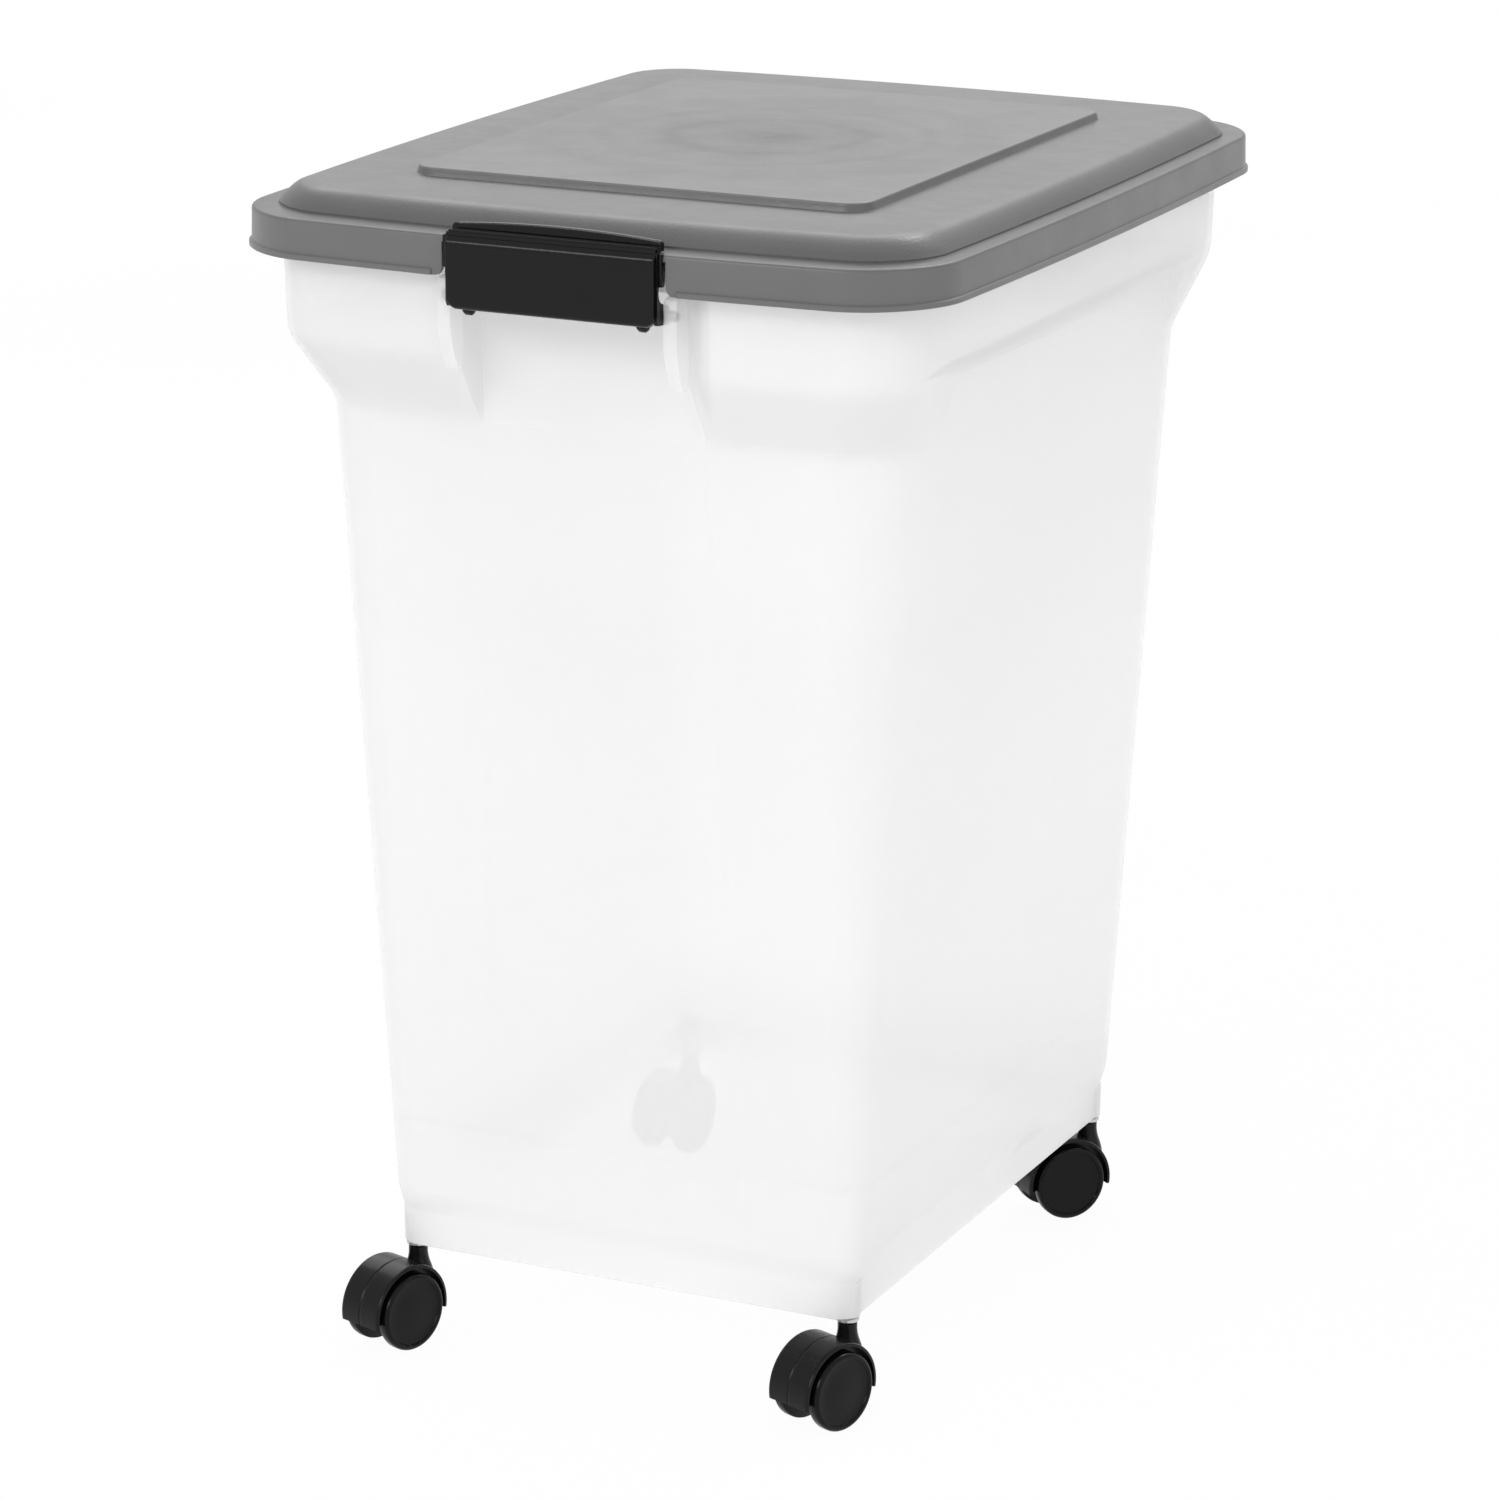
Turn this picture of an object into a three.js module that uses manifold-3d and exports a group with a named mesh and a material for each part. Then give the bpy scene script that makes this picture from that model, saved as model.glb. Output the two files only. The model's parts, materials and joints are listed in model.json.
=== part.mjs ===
// Rolling pet food bin: a tapered translucent tub with a lift-off lid, two latches and four twin-wheel casters.
// Millimetres. X runs along the latch side, -Y is the front, +Z is up. The origin is on the floor, at the centre.
import * as THREE from 'three';
import { mergeVertices } from 'three/addons/utils/BufferGeometryUtils.js';
import Module from 'manifold-3d';

const wasm = await Module();
wasm.setup();

// ---------- driving dimensions ----------
const WALL = 2.5; // moulded wall of the tub
const BOW_X = 5.3; // how far the long sides of the rim and lid belly out at their middle
const BOW_Y = 7.8; // the same for the front and back

// Tub stations from the foot up: height, width (X), depth (Y) and corner radius.
const FOOT_BOTTOM = { z: 53, w: 257, d: 344, r: 9 };
const FOOT_TOP = { z: 72, w: 258, d: 345, r: 9.5 };
const WALL_BOTTOM = { z: 84, w: 266, d: 352, r: 15 };
const WALL_TOP = { z: 504, w: 324, d: 395, r: 45 };
const COLLAR_BOTTOM = { z: 540, w: 340.3, d: 437.6, r: 31, bow: 1 };
const COLLAR_TOP = { z: 595.5, w: 342.5, d: 440, r: 31, bow: 1 };
const RIM_EDGE = { w: 366, d: 457.6, r: 42, bow: 1 };
const RIM_UNDER_Z = 596;
const RIM_TOP_Z = 599;
const FLOOR_TOP = { z: 75, w: 260, d: 346.75, r: 11 }; // top of the tub's floor, inside

// Hand ledge under the collar of each long side: the shoulder is left out there.
const LEDGE_HALF_LENGTH = 150;
const PROUD = 0.3; // how far a pocket's back face stands off the main wall's plane

// Latch pocket in the collar, and the two ears that hold the latch's pins.
const POCKET_HALF_WIDTH = 61;
const POCKET_TOP_Z = 582;
const EAR_INNER_X = 57; // each ear faces into the pocket
const EAR_WIDTH = 7;
const EAR_END_WALL = 1.2; // closes the pin hole on the outside
const EAR_ROOT_Y = -224; // inside the collar's wall
const EAR_FRONT_Y = -237.6;
const EAR_TOP_Z = 582.5;
const PIVOT_Y = -233;
const PIVOT_Z = 573;
const PIN_R = 2.5;
const PIN_HOLE_R = 2.8;

// Latch.
const LATCH_HALF_WIDTH = 55.5;
const LATCH_FRONT_Y = -245;
const LATCH_BACK_Y = -242.2; // back of the front plate
const LATCH_BOTTOM_Z = 568.5;
const LATCH_FOOT_Y = -228; // inner end of the latch's bottom arm
const LATCH_TOP_Z = 606.9;
const LIP_BACK_Y = -233; // the finger lip stands at the inner end of the top arm
const LIP_THICKNESS = 2.2;
const FRONT_LIP = { end: 609.2, middle: 611.6 }; // top edge
const REAR_LIP = { end: 607.5, middle: 608 };
const HOOK_X = 46.5; // hinge hooks under the latch
const HOOK_WIDTH = 5.4;
const HOOK_R = 6.2;
const KNUCKLE_R = 4.3;
const KNUCKLE_LENGTH = 9;
const PIN_END_X = 62.4;

// Lid.
const LID_BOTTOM_Z = 583.5;
const LID_LEDGE_Z = 603.4;
const LID_DOME_Z = 614.2;
const LID_PLATFORM_Z = 618.5;
const LID_THICKNESS = 2.4;
const BEAD = { w: 377.1, d: 468.8, r: 47, bow: 1 }; // thickened lower edge of the skirt
const BEAD_HEIGHT = 2.8;
const NOTCH_HALF_WIDTH = 59.7; // skirt cut away behind each latch
const NOTCH_TOP_Z = 600;
const NOTCH_BACK_Y = -234;
const BEAD_NOTCH_HALF_WIDTH = 65;
const BEAD_NOTCH_BACK_Y = -240.6;

// Casters.
const CASTER_X = 123.2;
const CASTER_Y = 163;
const BOSS_R = 7;
const STEM_R = 3.6;
const STEM_HOLE_R = 3.9;
const STEM_TOP_Z = 69.5;
const STEM_HOLE_TOP_Z = 70.2;
const COLLAR_R = 6;
const WHEEL_R = 20.6;
const WHEEL_INNER = 9.8; // the wheel's inner face, from the caster's mid-plane
const WHEEL_OUTER = 16;
const TRAIL = 17.6; // the axle lies this far behind the swivel axis
const HOOD_R = 25.2; // the hood is a drum about the axle, open below
const HOOD_WALL = 1.8;
const HOOD_HALF_WIDTH = 13.6;
const HOOD_WEB_OUTER = 8.8; // the two webs that carry the axle, inside the wheels
const HOOD_WEB_INNER = 7;
const HOOD_BOTTOM_Z = 16.6;
const NECK_R = 5;
const NECK_TOP_Z = 50.2;
const NECK_BORE_DEPTH = 14;
const AXLE_R = 2.4;
const AXLE_HOLE_R = 2.7;
const AXLE_BARREL_R = 4.6;
const AXLE_HALF_LENGTH = 14;
const RUNNING_GAP = 0.3;

// How each caster has come to rest: degrees that its axle is turned about the swivel axis.
const CASTERS = [
  { name: 'front_left', x: -CASTER_X, y: -CASTER_Y, turn: -18 },
  { name: 'front_right', x: CASTER_X, y: -CASTER_Y, turn: -20 },
  { name: 'back_right', x: CASTER_X, y: CASTER_Y, turn: -40 },
  { name: 'back_left', x: -CASTER_X, y: CASTER_Y, turn: -5 },
];

const COLOURS = {
  tub: { color: 0xeef0f0, roughness: 0.35, metalness: 0, opacity: 0.6, transparent: true },
  lid: { color: 0x808182, roughness: 0.45, metalness: 0 },
  foam: { color: 0xd8d8d4, roughness: 0.9, metalness: 0 },
  black: { color: 0x1c1c1d, roughness: 0.4, metalness: 0 },
  steel: { color: 0xb9bcc0, roughness: 0.25, metalness: 1 },
};

// ---------- outlines and solids ----------
const CORNER_STEPS = 5;
const SIDE_STEPS = 4;

// Rounded rectangle with bellied sides, anticlockwise from the middle of the right side's lower corner.
function outline({ w, d, r, bow = 0 }) {
  const corners = [[1, -1, -90], [1, 1, 0], [-1, 1, 90], [-1, -1, 180]];
  const arcs = corners.map(([sx, sy, start]) => {
    const arc = [];
    for (let i = 0; i <= CORNER_STEPS; i++) {
      const a = THREE.MathUtils.degToRad(start + (90 * i) / CORNER_STEPS);
      arc.push(new THREE.Vector2(sx * (w / 2 - r) + r * Math.cos(a), sy * (d / 2 - r) + r * Math.sin(a)));
    }
    return arc;
  });
  const points = [];
  arcs.forEach((arc, k) => {
    points.push(...arc);
    const from = arc[CORNER_STEPS];
    const to = arcs[(k + 1) % 4][0];
    for (let i = 1; i < SIDE_STEPS; i++) points.push(from.clone().lerp(to, i / SIDE_STEPS));
  });
  return points.map((p) => belly(p, w, d, r, bow));
}

function belly(p, w, d, r, bow) {
  const nearY = THREE.MathUtils.clamp((Math.abs(p.y) - d / 2 + r) / r, 0, 1);
  const nearX = THREE.MathUtils.clamp((Math.abs(p.x) - w / 2 + r) / r, 0, 1);
  const y = p.y + Math.sign(p.y) * bow * BOW_Y * nearY * (1 - (2 * p.x / w) ** 2);
  const x = p.x + Math.sign(p.x) * bow * BOW_X * nearX * (1 - (2 * p.y / d) ** 2);
  return new THREE.Vector2(x, y);
}

function inset(station, t) {
  return { ...station, w: station.w - 2 * t, d: station.d - 2 * t, r: Math.max(station.r - t, 2) };
}

// A closed body through outlines stacked from the lowest to the highest.
function loft(stations) {
  const rings = stations.map((s) => outline(s).map((p) => [p.x, p.y, s.z]));
  const n = rings[0].length;
  const positions = rings.flat(2);
  const bottom = positions.length / 3;
  positions.push(0, 0, stations[0].z, 0, 0, stations.at(-1).z);
  const index = [];
  for (let k = 0; k + 1 < rings.length; k++) {
    for (let i = 0; i < n; i++) {
      const a = k * n + i;
      const b = k * n + ((i + 1) % n);
      index.push(a, b, b + n, a, b + n, a + n);
    }
  }
  const top = (rings.length - 1) * n;
  for (let i = 0; i < n; i++) {
    const j = (i + 1) % n;
    index.push(bottom, j, i, bottom + 1, top + i, top + j);
  }
  const geometry = new THREE.BufferGeometry();
  geometry.setAttribute('position', new THREE.Float32BufferAttribute(positions, 3));
  geometry.setIndex(index);
  return solid(geometry);
}

function solid(geometry) {
  const bare = geometry.clone();
  bare.deleteAttribute('normal');
  bare.deleteAttribute('uv');
  const merged = mergeVertices(bare, 1e-4);
  return new wasm.Manifold(new wasm.Mesh({
    numProp: 3,
    vertProperties: new Float32Array(merged.attributes.position.array),
    triVerts: new Uint32Array(merged.index.array),
  }));
}

function block(x0, x1, y0, y1, z0, z1) {
  const geometry = new THREE.BoxGeometry(x1 - x0, y1 - y0, z1 - z0);
  return solid(geometry.translate((x0 + x1) / 2, (y0 + y1) / 2, (z0 + z1) / 2));
}

function cylinderZ(r, x, y, z0, z1, sides = 24) {
  const geometry = new THREE.CylinderGeometry(r, r, z1 - z0, sides).rotateX(Math.PI / 2);
  return solid(geometry.translate(x, y, (z0 + z1) / 2));
}

function cylinderX(r, x0, x1, y, z, sides = 24) {
  const geometry = new THREE.CylinderGeometry(r, r, x1 - x0, sides).rotateZ(Math.PI / 2);
  return solid(geometry.translate((x0 + x1) / 2, y, z));
}

// Extrudes a (y, z) profile from x0 to x1.
function barX(profile, x0, x1) {
  const shape = new THREE.Shape(profile.map(([y, z]) => new THREE.Vector2(y, z)));
  const geometry = new THREE.ExtrudeGeometry(shape, { depth: x1 - x0, bevelEnabled: false, curveSegments: 8 });
  const turn = new THREE.Matrix4().makeBasis(
    new THREE.Vector3(0, 1, 0), new THREE.Vector3(0, 0, 1), new THREE.Vector3(1, 0, 0));
  return solid(geometry.applyMatrix4(turn).translate(x0, 0, 0));
}

// Extrudes an (x, z) shape from y0 to y1.
function plateY(shape, y0, y1) {
  const geometry = new THREE.ExtrudeGeometry(shape, { depth: y1 - y0, bevelEnabled: false, curveSegments: 12 });
  return solid(geometry.rotateX(Math.PI / 2).translate(0, y1, 0));
}

// Turns a (radius, height) profile, both ends on the axis, about +Y.
function turned(profile, sides) {
  const points = profile.map(([r, h]) => new THREE.Vector2(r, h));
  return new THREE.LatheGeometry(points, sides);
}

function mirrorX(body) {
  return body.add(body.mirror([1, 0, 0]));
}

function mirrored(body, side) {
  return side < 0 ? body.mirror([1, 0, 0]) : body;
}

function node(name, body, look) {
  const data = body.getMesh();
  const geometry = new THREE.BufferGeometry();
  geometry.setAttribute('position', new THREE.BufferAttribute(new Float32Array(data.vertProperties), 3));
  geometry.setIndex(new THREE.BufferAttribute(new Uint32Array(data.triVerts), 1));
  geometry.computeVertexNormals();
  const mesh = new THREE.Mesh(geometry, new THREE.MeshStandardMaterial(COLOURS[look]));
  mesh.name = name;
  return mesh;
}

// ---------- tub ----------
// Slope of the main wall, in mm of half-width for each mm of height.
const RISE = WALL_TOP.z - WALL_BOTTOM.z;
const SLOPE_X = (WALL_TOP.w - WALL_BOTTOM.w) / 2 / RISE;
const SLOPE_Y = (WALL_TOP.d - WALL_BOTTOM.d) / 2 / RISE;
const REACH = 300; // beyond the tub on every side

// The shoulder cut away over one long side; t shifts the cut into the tub by a wall's thickness.
function ledgeCut(t) {
  const at = (z) => WALL_TOP.w / 2 + PROUD - t + (z - WALL_TOP.z) * SLOPE_X;
  const top = COLLAR_BOTTOM.z + t;
  const shape = new THREE.Shape([
    new THREE.Vector2(at(WALL_TOP.z - t), WALL_TOP.z - t),
    new THREE.Vector2(REACH, WALL_TOP.z - t),
    new THREE.Vector2(REACH, top),
    new THREE.Vector2(at(top), top),
  ]);
  return mirrorX(plateY(shape, -LEDGE_HALF_LENGTH - t, LEDGE_HALF_LENGTH + t));
}

function pocketCut(t) {
  const at = (z) => -(WALL_TOP.d / 2 + PROUD - t + (z - WALL_TOP.z) * SLOPE_Y);
  const top = POCKET_TOP_Z + t;
  const low = WALL_TOP.z - t;
  const half = POCKET_HALF_WIDTH + t;
  const front = barX([[-REACH, low], [at(low), low], [at(top), top], [-REACH, top]], -half, half);
  return front.add(front.rotate([0, 0, 180]));
}

function tubForm(t, stations) {
  return loft(stations).subtract(ledgeCut(t)).subtract(pocketCut(t));
}

function ears() {
  const low = COLLAR_BOTTOM.z;
  const profile = [
    [EAR_ROOT_Y, low], [EAR_FRONT_Y + 4.6, low], [EAR_FRONT_Y, low + 16], [EAR_FRONT_Y, EAR_TOP_Z - 3.5],
    [EAR_FRONT_Y + 3.6, EAR_TOP_Z], [EAR_ROOT_Y, EAR_TOP_Z],
  ];
  const from = EAR_INNER_X;
  const to = EAR_INNER_X + EAR_WIDTH;
  const ear = barX(profile, from, to);
  const hole = cylinderX(PIN_HOLE_R, from - 1, to - EAR_END_WALL, PIVOT_Y, PIVOT_Z, 16);
  const pair = mirrorX(ear.subtract(hole));
  return pair.add(pair.rotate([0, 0, 180]));
}

function tub() {
  const outer = tubForm(0, [
    FOOT_BOTTOM, FOOT_TOP, WALL_BOTTOM, WALL_TOP, COLLAR_BOTTOM, COLLAR_TOP,
    { ...RIM_EDGE, z: RIM_UNDER_Z }, { ...RIM_EDGE, z: RIM_TOP_Z },
  ]);
  const cavity = tubForm(WALL, [
    inset(FLOOR_TOP, WALL), inset(WALL_BOTTOM, WALL), inset(WALL_TOP, WALL), inset(COLLAR_BOTTOM, WALL),
    inset({ ...COLLAR_TOP, z: RIM_TOP_Z + 1 }, WALL),
  ]);
  const under = loft([
    inset({ ...FOOT_BOTTOM, z: FOOT_BOTTOM.z - 1 }, WALL), inset(FOOT_TOP, WALL),
  ]);
  const foot = loft([FOOT_BOTTOM, { ...FOOT_TOP, z: FOOT_TOP.z + 1 }]);
  let body = outer.subtract(cavity).subtract(under).add(ears());
  for (const { x, y } of CASTERS) {
    const boss = cylinderZ(BOSS_R, x, y, FOOT_BOTTOM.z, FOOT_TOP.z + 1).intersect(foot);
    const hole = cylinderZ(STEM_HOLE_R, x, y, FOOT_BOTTOM.z - 1, STEM_HOLE_TOP_Z, 16);
    body = body.add(boss).subtract(hole);
  }
  return node('tub', body, 'tub');
}

// ---------- lid ----------
const SKIRT = { w: 374.4, d: 466, r: 45.6, bow: 1 };
const SKIRT_INNER = { w: 369.6, d: 461.2, r: 43, bow: 1 };
const DOME = { w: 353.6, d: 433, r: 36, bow: 1 };
const PLATFORM = { w: 248, d: 312, r: 14 };
const PLUG = { w: 333.4, d: 417, r: 26.5, bow: 1 };
const PLUG_BOTTOM_Z = 586;
const PLUG_TOP_Z = 611.6;

function lidTop() {
  return loft([
    { ...BEAD, z: LID_BOTTOM_Z },
    { ...BEAD, z: LID_BOTTOM_Z + BEAD_HEIGHT },
    { ...SKIRT, z: LID_BOTTOM_Z + BEAD_HEIGHT + 0.4 },
    { ...inset(SKIRT, 0.3), z: LID_LEDGE_Z - 4 },
    { ...inset(SKIRT, 1.5), z: LID_LEDGE_Z - 1.2 },
    { ...inset(SKIRT, 4.2), z: LID_LEDGE_Z },
    { ...DOME, z: LID_LEDGE_Z },
    { ...inset(DOME, 2), z: LID_LEDGE_Z + 3.2 },
    { ...inset(DOME, 5), z: LID_LEDGE_Z + 6.6 },
    { ...inset(DOME, 9), z: LID_LEDGE_Z + 9.4 },
    { ...inset(DOME, 14), z: LID_LEDGE_Z + 10.5 },
    { ...inset(DOME, 20), z: LID_DOME_Z },
    { ...PLATFORM, z: LID_DOME_Z },
    { ...inset(PLATFORM, 0.8), z: LID_PLATFORM_Z - 0.7 },
    { ...inset(PLATFORM, 1.6), z: LID_PLATFORM_Z },
  ]);
}

function lidHollow() {
  const t = LID_THICKNESS;
  return loft([
    { ...SKIRT_INNER, z: LID_BOTTOM_Z - 1 },
    { ...SKIRT_INNER, z: LID_LEDGE_Z - t },
    { ...inset(DOME, t + 0.6), z: LID_LEDGE_Z - t },
    { ...inset(DOME, t + 2), z: LID_LEDGE_Z + 1.6 },
    { ...inset(DOME, t + 5), z: LID_LEDGE_Z + 5 },
    { ...inset(DOME, t + 9), z: LID_LEDGE_Z + 7.2 },
    { ...inset(DOME, t + 18), z: LID_DOME_Z - t },
    { ...inset(PLATFORM, t), z: LID_DOME_Z - t },
    { ...inset(PLATFORM, t + 0.6), z: LID_PLATFORM_Z - t },
  ]);
}

function lid() {
  const plug = loft([{ ...PLUG, z: PLUG_BOTTOM_Z }, { ...PLUG, z: PLUG_TOP_Z }]);
  const plugHollow = loft([
    { ...inset(PLUG, 2), z: PLUG_BOTTOM_Z - 1 }, { ...inset(PLUG, 2), z: PLUG_TOP_Z + 1 },
  ]);
  const low = LID_BOTTOM_Z - 1;
  const beadTop = LID_BOTTOM_Z + BEAD_HEIGHT + 0.6;
  const skirtNotch = block(-NOTCH_HALF_WIDTH, NOTCH_HALF_WIDTH, -REACH, NOTCH_BACK_Y, low, NOTCH_TOP_Z);
  const beadNotch = block(
    -BEAD_NOTCH_HALF_WIDTH, BEAD_NOTCH_HALF_WIDTH, -REACH, BEAD_NOTCH_BACK_Y, low, beadTop);
  const notch = skirtNotch.add(beadNotch);
  const body = lidTop().subtract(lidHollow()).add(plug.subtract(plugHollow));
  return node('lid', body.subtract(notch).subtract(notch.rotate([0, 0, 180])), 'lid');
}

function gasket() {
  const seat = { w: 366, d: 457.6, r: 41.5, bow: 1 };
  const low = RIM_TOP_Z + RUNNING_GAP;
  const high = LID_LEDGE_Z - LID_THICKNESS - RUNNING_GAP;
  const ring = loft([{ ...seat, z: low }, { ...seat, z: high }]);
  const hole = loft([{ ...inset(seat, 8), z: low - 1 }, { ...inset(seat, 8), z: high + 1 }]);
  return node('lid_gasket', ring.subtract(hole), 'foam');
}

// ---------- latch ----------
function latchPlate(side) {
  const front = LATCH_FRONT_Y;
  const low = LATCH_BOTTOM_Z;
  const profile = [
    [LATCH_FOOT_Y, low], [front + 1.8, low], [front + 0.4, low + 0.8], [front, low + 2.3],
    [front, LATCH_TOP_Z - 5.6], [front + 0.4, LATCH_TOP_Z - 4.4], [front + 1.7, LATCH_TOP_Z - 1.2],
    [LATCH_BACK_Y, LATCH_TOP_Z - 0.4], [LATCH_BACK_Y, low + 3], [LATCH_FOOT_Y, low + 3],
  ];
  const half = LATCH_HALF_WIDTH;
  const hookFrom = HOOK_X - HOOK_WIDTH / 2;
  const hookTo = HOOK_X + HOOK_WIDTH / 2;
  const hook = cylinderX(HOOK_R, hookFrom, hookTo, PIVOT_Y, PIVOT_Z, 20);
  const bridge = block(hookFrom, hookTo, LATCH_BACK_Y - 1, PIVOT_Y, low + 1, PIVOT_Z + HOOK_R - 1);
  const knuckle = cylinderX(KNUCKLE_R, half - KNUCKLE_LENGTH, half, PIVOT_Y, PIVOT_Z, 16);
  const pin = cylinderX(PIN_R, half - KNUCKLE_LENGTH, PIN_END_X, PIVOT_Y, PIVOT_Z, 16);
  const details = mirrorX(hook.add(bridge).add(knuckle).add(pin));
  return node(`${side}_latch`, barX(profile, -half, half).add(details), 'black');
}

function latchLip(side, lipTop) {
  const root = LATCH_BACK_Y + RUNNING_GAP;
  const under = LID_LEDGE_Z + 0.7;
  const rootLow = under - 3.2;
  const armTop = LATCH_TOP_Z - 0.9;
  const profile = [
    [root, rootLow], [root + 0.7, rootLow], [root + 0.7, under], [LIP_BACK_Y, under],
    [LIP_BACK_Y, armTop], [root + 1.3, armTop], [root, armTop - 0.5],
  ];
  const half = LATCH_HALF_WIDTH;
  const arch = new THREE.Shape();
  arch.moveTo(-half, under);
  arch.lineTo(half, under);
  arch.lineTo(half, lipTop.end);
  arch.quadraticCurveTo(0, 2 * lipTop.middle - lipTop.end, -half, lipTop.end);
  const lip = plateY(arch, LIP_BACK_Y - LIP_THICKNESS, LIP_BACK_Y);
  return node(`${side}_latch_lip`, barX(profile, -half, half).add(lip), 'black');
}

function latch(side, turn, lipTop) {
  const group = new THREE.Group();
  group.add(latchPlate(side), latchLip(side, lipTop));
  group.rotation.z = turn;
  return group;
}

// ---------- caster ----------
// Built about its swivel axis, with the axle along X and behind the axis, towards -Y.
function alongAxle(r, x0, x1, sides = 30) {
  return cylinderX(r, x0, x1, -TRAIL, WHEEL_R, sides);
}

function casterHood(name) {
  const inside = HOOD_R - HOOD_WALL;
  const drum = alongAxle(HOOD_R, -HOOD_HALF_WIDTH, HOOD_HALF_WIDTH);
  const wheelSpace = mirrorX(alongAxle(inside, HOOD_WEB_OUTER, HOOD_HALF_WIDTH + 1));
  const hollow = alongAxle(inside, -HOOD_WEB_INNER, HOOD_WEB_INNER);
  const barrel = alongAxle(AXLE_BARREL_R, -HOOD_WEB_OUTER, HOOD_WEB_OUTER, 16);
  const neck = cylinderZ(NECK_R, 0, 0, HOOD_BOTTOM_Z, NECK_TOP_Z, 16);
  const bore = cylinderZ(STEM_HOLE_R, 0, 0, NECK_TOP_Z - NECK_BORE_DEPTH, NECK_TOP_Z + 1, 16);
  const axleHole = alongAxle(AXLE_HOLE_R, -HOOD_HALF_WIDTH, HOOD_HALF_WIDTH, 16);
  const opening = block(-REACH, REACH, -REACH, REACH, -HOOD_R, HOOD_BOTTOM_Z);
  const shell = drum.subtract(wheelSpace).subtract(hollow).add(barrel).add(neck);
  return node(`${name}_hood`, shell.subtract(bore).subtract(axleHole).subtract(opening), 'black');
}

// Pressed pin of the caster: it stands in the hood's neck, with a round collar under the foot.
function casterStem(name) {
  const low = NECK_TOP_Z - NECK_BORE_DEPTH + RUNNING_GAP;
  const collarLow = NECK_TOP_Z + RUNNING_GAP;
  const collarHigh = FOOT_BOTTOM.z - RUNNING_GAP;
  const profile = [
    [0, low], [STEM_R, low], [STEM_R, collarLow], [COLLAR_R, collarLow], [COLLAR_R, collarHigh],
    [STEM_R, collarHigh], [STEM_R, STEM_TOP_Z - 1], [STEM_R - 1, STEM_TOP_Z], [0, STEM_TOP_Z],
  ];
  const geometry = turned(profile, 16).rotateX(Math.PI / 2);
  return node(`${name}_stem`, solid(geometry), 'steel');
}

function casterAxle(name) {
  const pin = alongAxle(AXLE_R, -AXLE_HALF_LENGTH, AXLE_HALF_LENGTH, 16);
  return node(`${name}_axle`, pin, 'steel');
}

// Side +1 is the wheel at +X, -1 the one at -X. The outer face is a shallow dish inside a raised rim.
function casterWheel(name, side) {
  const hole = AXLE_HOLE_R;
  const profile = [
    [0, AXLE_HALF_LENGTH + RUNNING_GAP], [hole, AXLE_HALF_LENGTH + RUNNING_GAP], [hole, WHEEL_INNER],
    [WHEEL_R, WHEEL_INNER], [WHEEL_R, WHEEL_OUTER - 2], [WHEEL_R - 2, WHEEL_OUTER],
    [WHEEL_R - 4.4, WHEEL_OUTER], [WHEEL_R - 5.2, WHEEL_OUTER - 0.9], [0, WHEEL_OUTER - 0.9],
  ];
  const geometry = turned(profile, 30).rotateZ(-Math.PI / 2);
  const body = mirrored(solid(geometry), side).translate([0, -TRAIL, WHEEL_R]);
  return node(`${name}_wheel_${side < 0 ? 'left' : 'right'}`, body, 'black');
}

function caster({ name, x, y, turn }) {
  const group = new THREE.Group();
  const label = `caster_${name}`;
  group.add(casterHood(label), casterStem(label), casterAxle(label));
  group.add(casterWheel(label, -1), casterWheel(label, 1));
  group.position.set(x, y, 0);
  group.rotation.z = THREE.MathUtils.degToRad(turn);
  return group;
}

// ---------- assembly ----------
const bin = new THREE.Group();
bin.add(tub(), lid(), gasket(), latch('front', 0, FRONT_LIP), latch('rear', Math.PI, REAR_LIP));
for (const spec of CASTERS) bin.add(caster(spec));

export default bin;
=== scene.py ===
"""Rolling pet food bin: the looks of the tub, lid, latches and casters, and a plain studio.

Lengths of the pieces are millimetres and become metres in build(); materials and the camera use metres.
X runs along the latch side, -Y is the front and +Z is up.
"""

import json
import math

import bmesh
import bpy
from mathutils import Matrix, Vector, geometry


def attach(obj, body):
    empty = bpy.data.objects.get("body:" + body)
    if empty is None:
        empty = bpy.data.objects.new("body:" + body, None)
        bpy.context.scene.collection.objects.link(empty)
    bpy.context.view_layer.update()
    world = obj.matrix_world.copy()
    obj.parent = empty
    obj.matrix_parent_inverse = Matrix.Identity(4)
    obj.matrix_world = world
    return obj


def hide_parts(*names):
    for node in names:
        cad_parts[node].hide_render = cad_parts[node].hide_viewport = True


MM = 0.001

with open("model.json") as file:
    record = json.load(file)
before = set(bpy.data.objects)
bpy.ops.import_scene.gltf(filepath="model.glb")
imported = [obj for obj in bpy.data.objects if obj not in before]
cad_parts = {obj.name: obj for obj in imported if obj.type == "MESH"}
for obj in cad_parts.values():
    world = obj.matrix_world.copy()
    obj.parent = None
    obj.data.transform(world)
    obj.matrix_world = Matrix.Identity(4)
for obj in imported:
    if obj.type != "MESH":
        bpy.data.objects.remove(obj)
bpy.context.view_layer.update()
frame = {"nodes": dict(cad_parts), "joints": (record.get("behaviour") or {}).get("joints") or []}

# ---------- driving dimensions ----------
BOW_X, BOW_Y = 5.3, 7.8
WALL = 2.5

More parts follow.
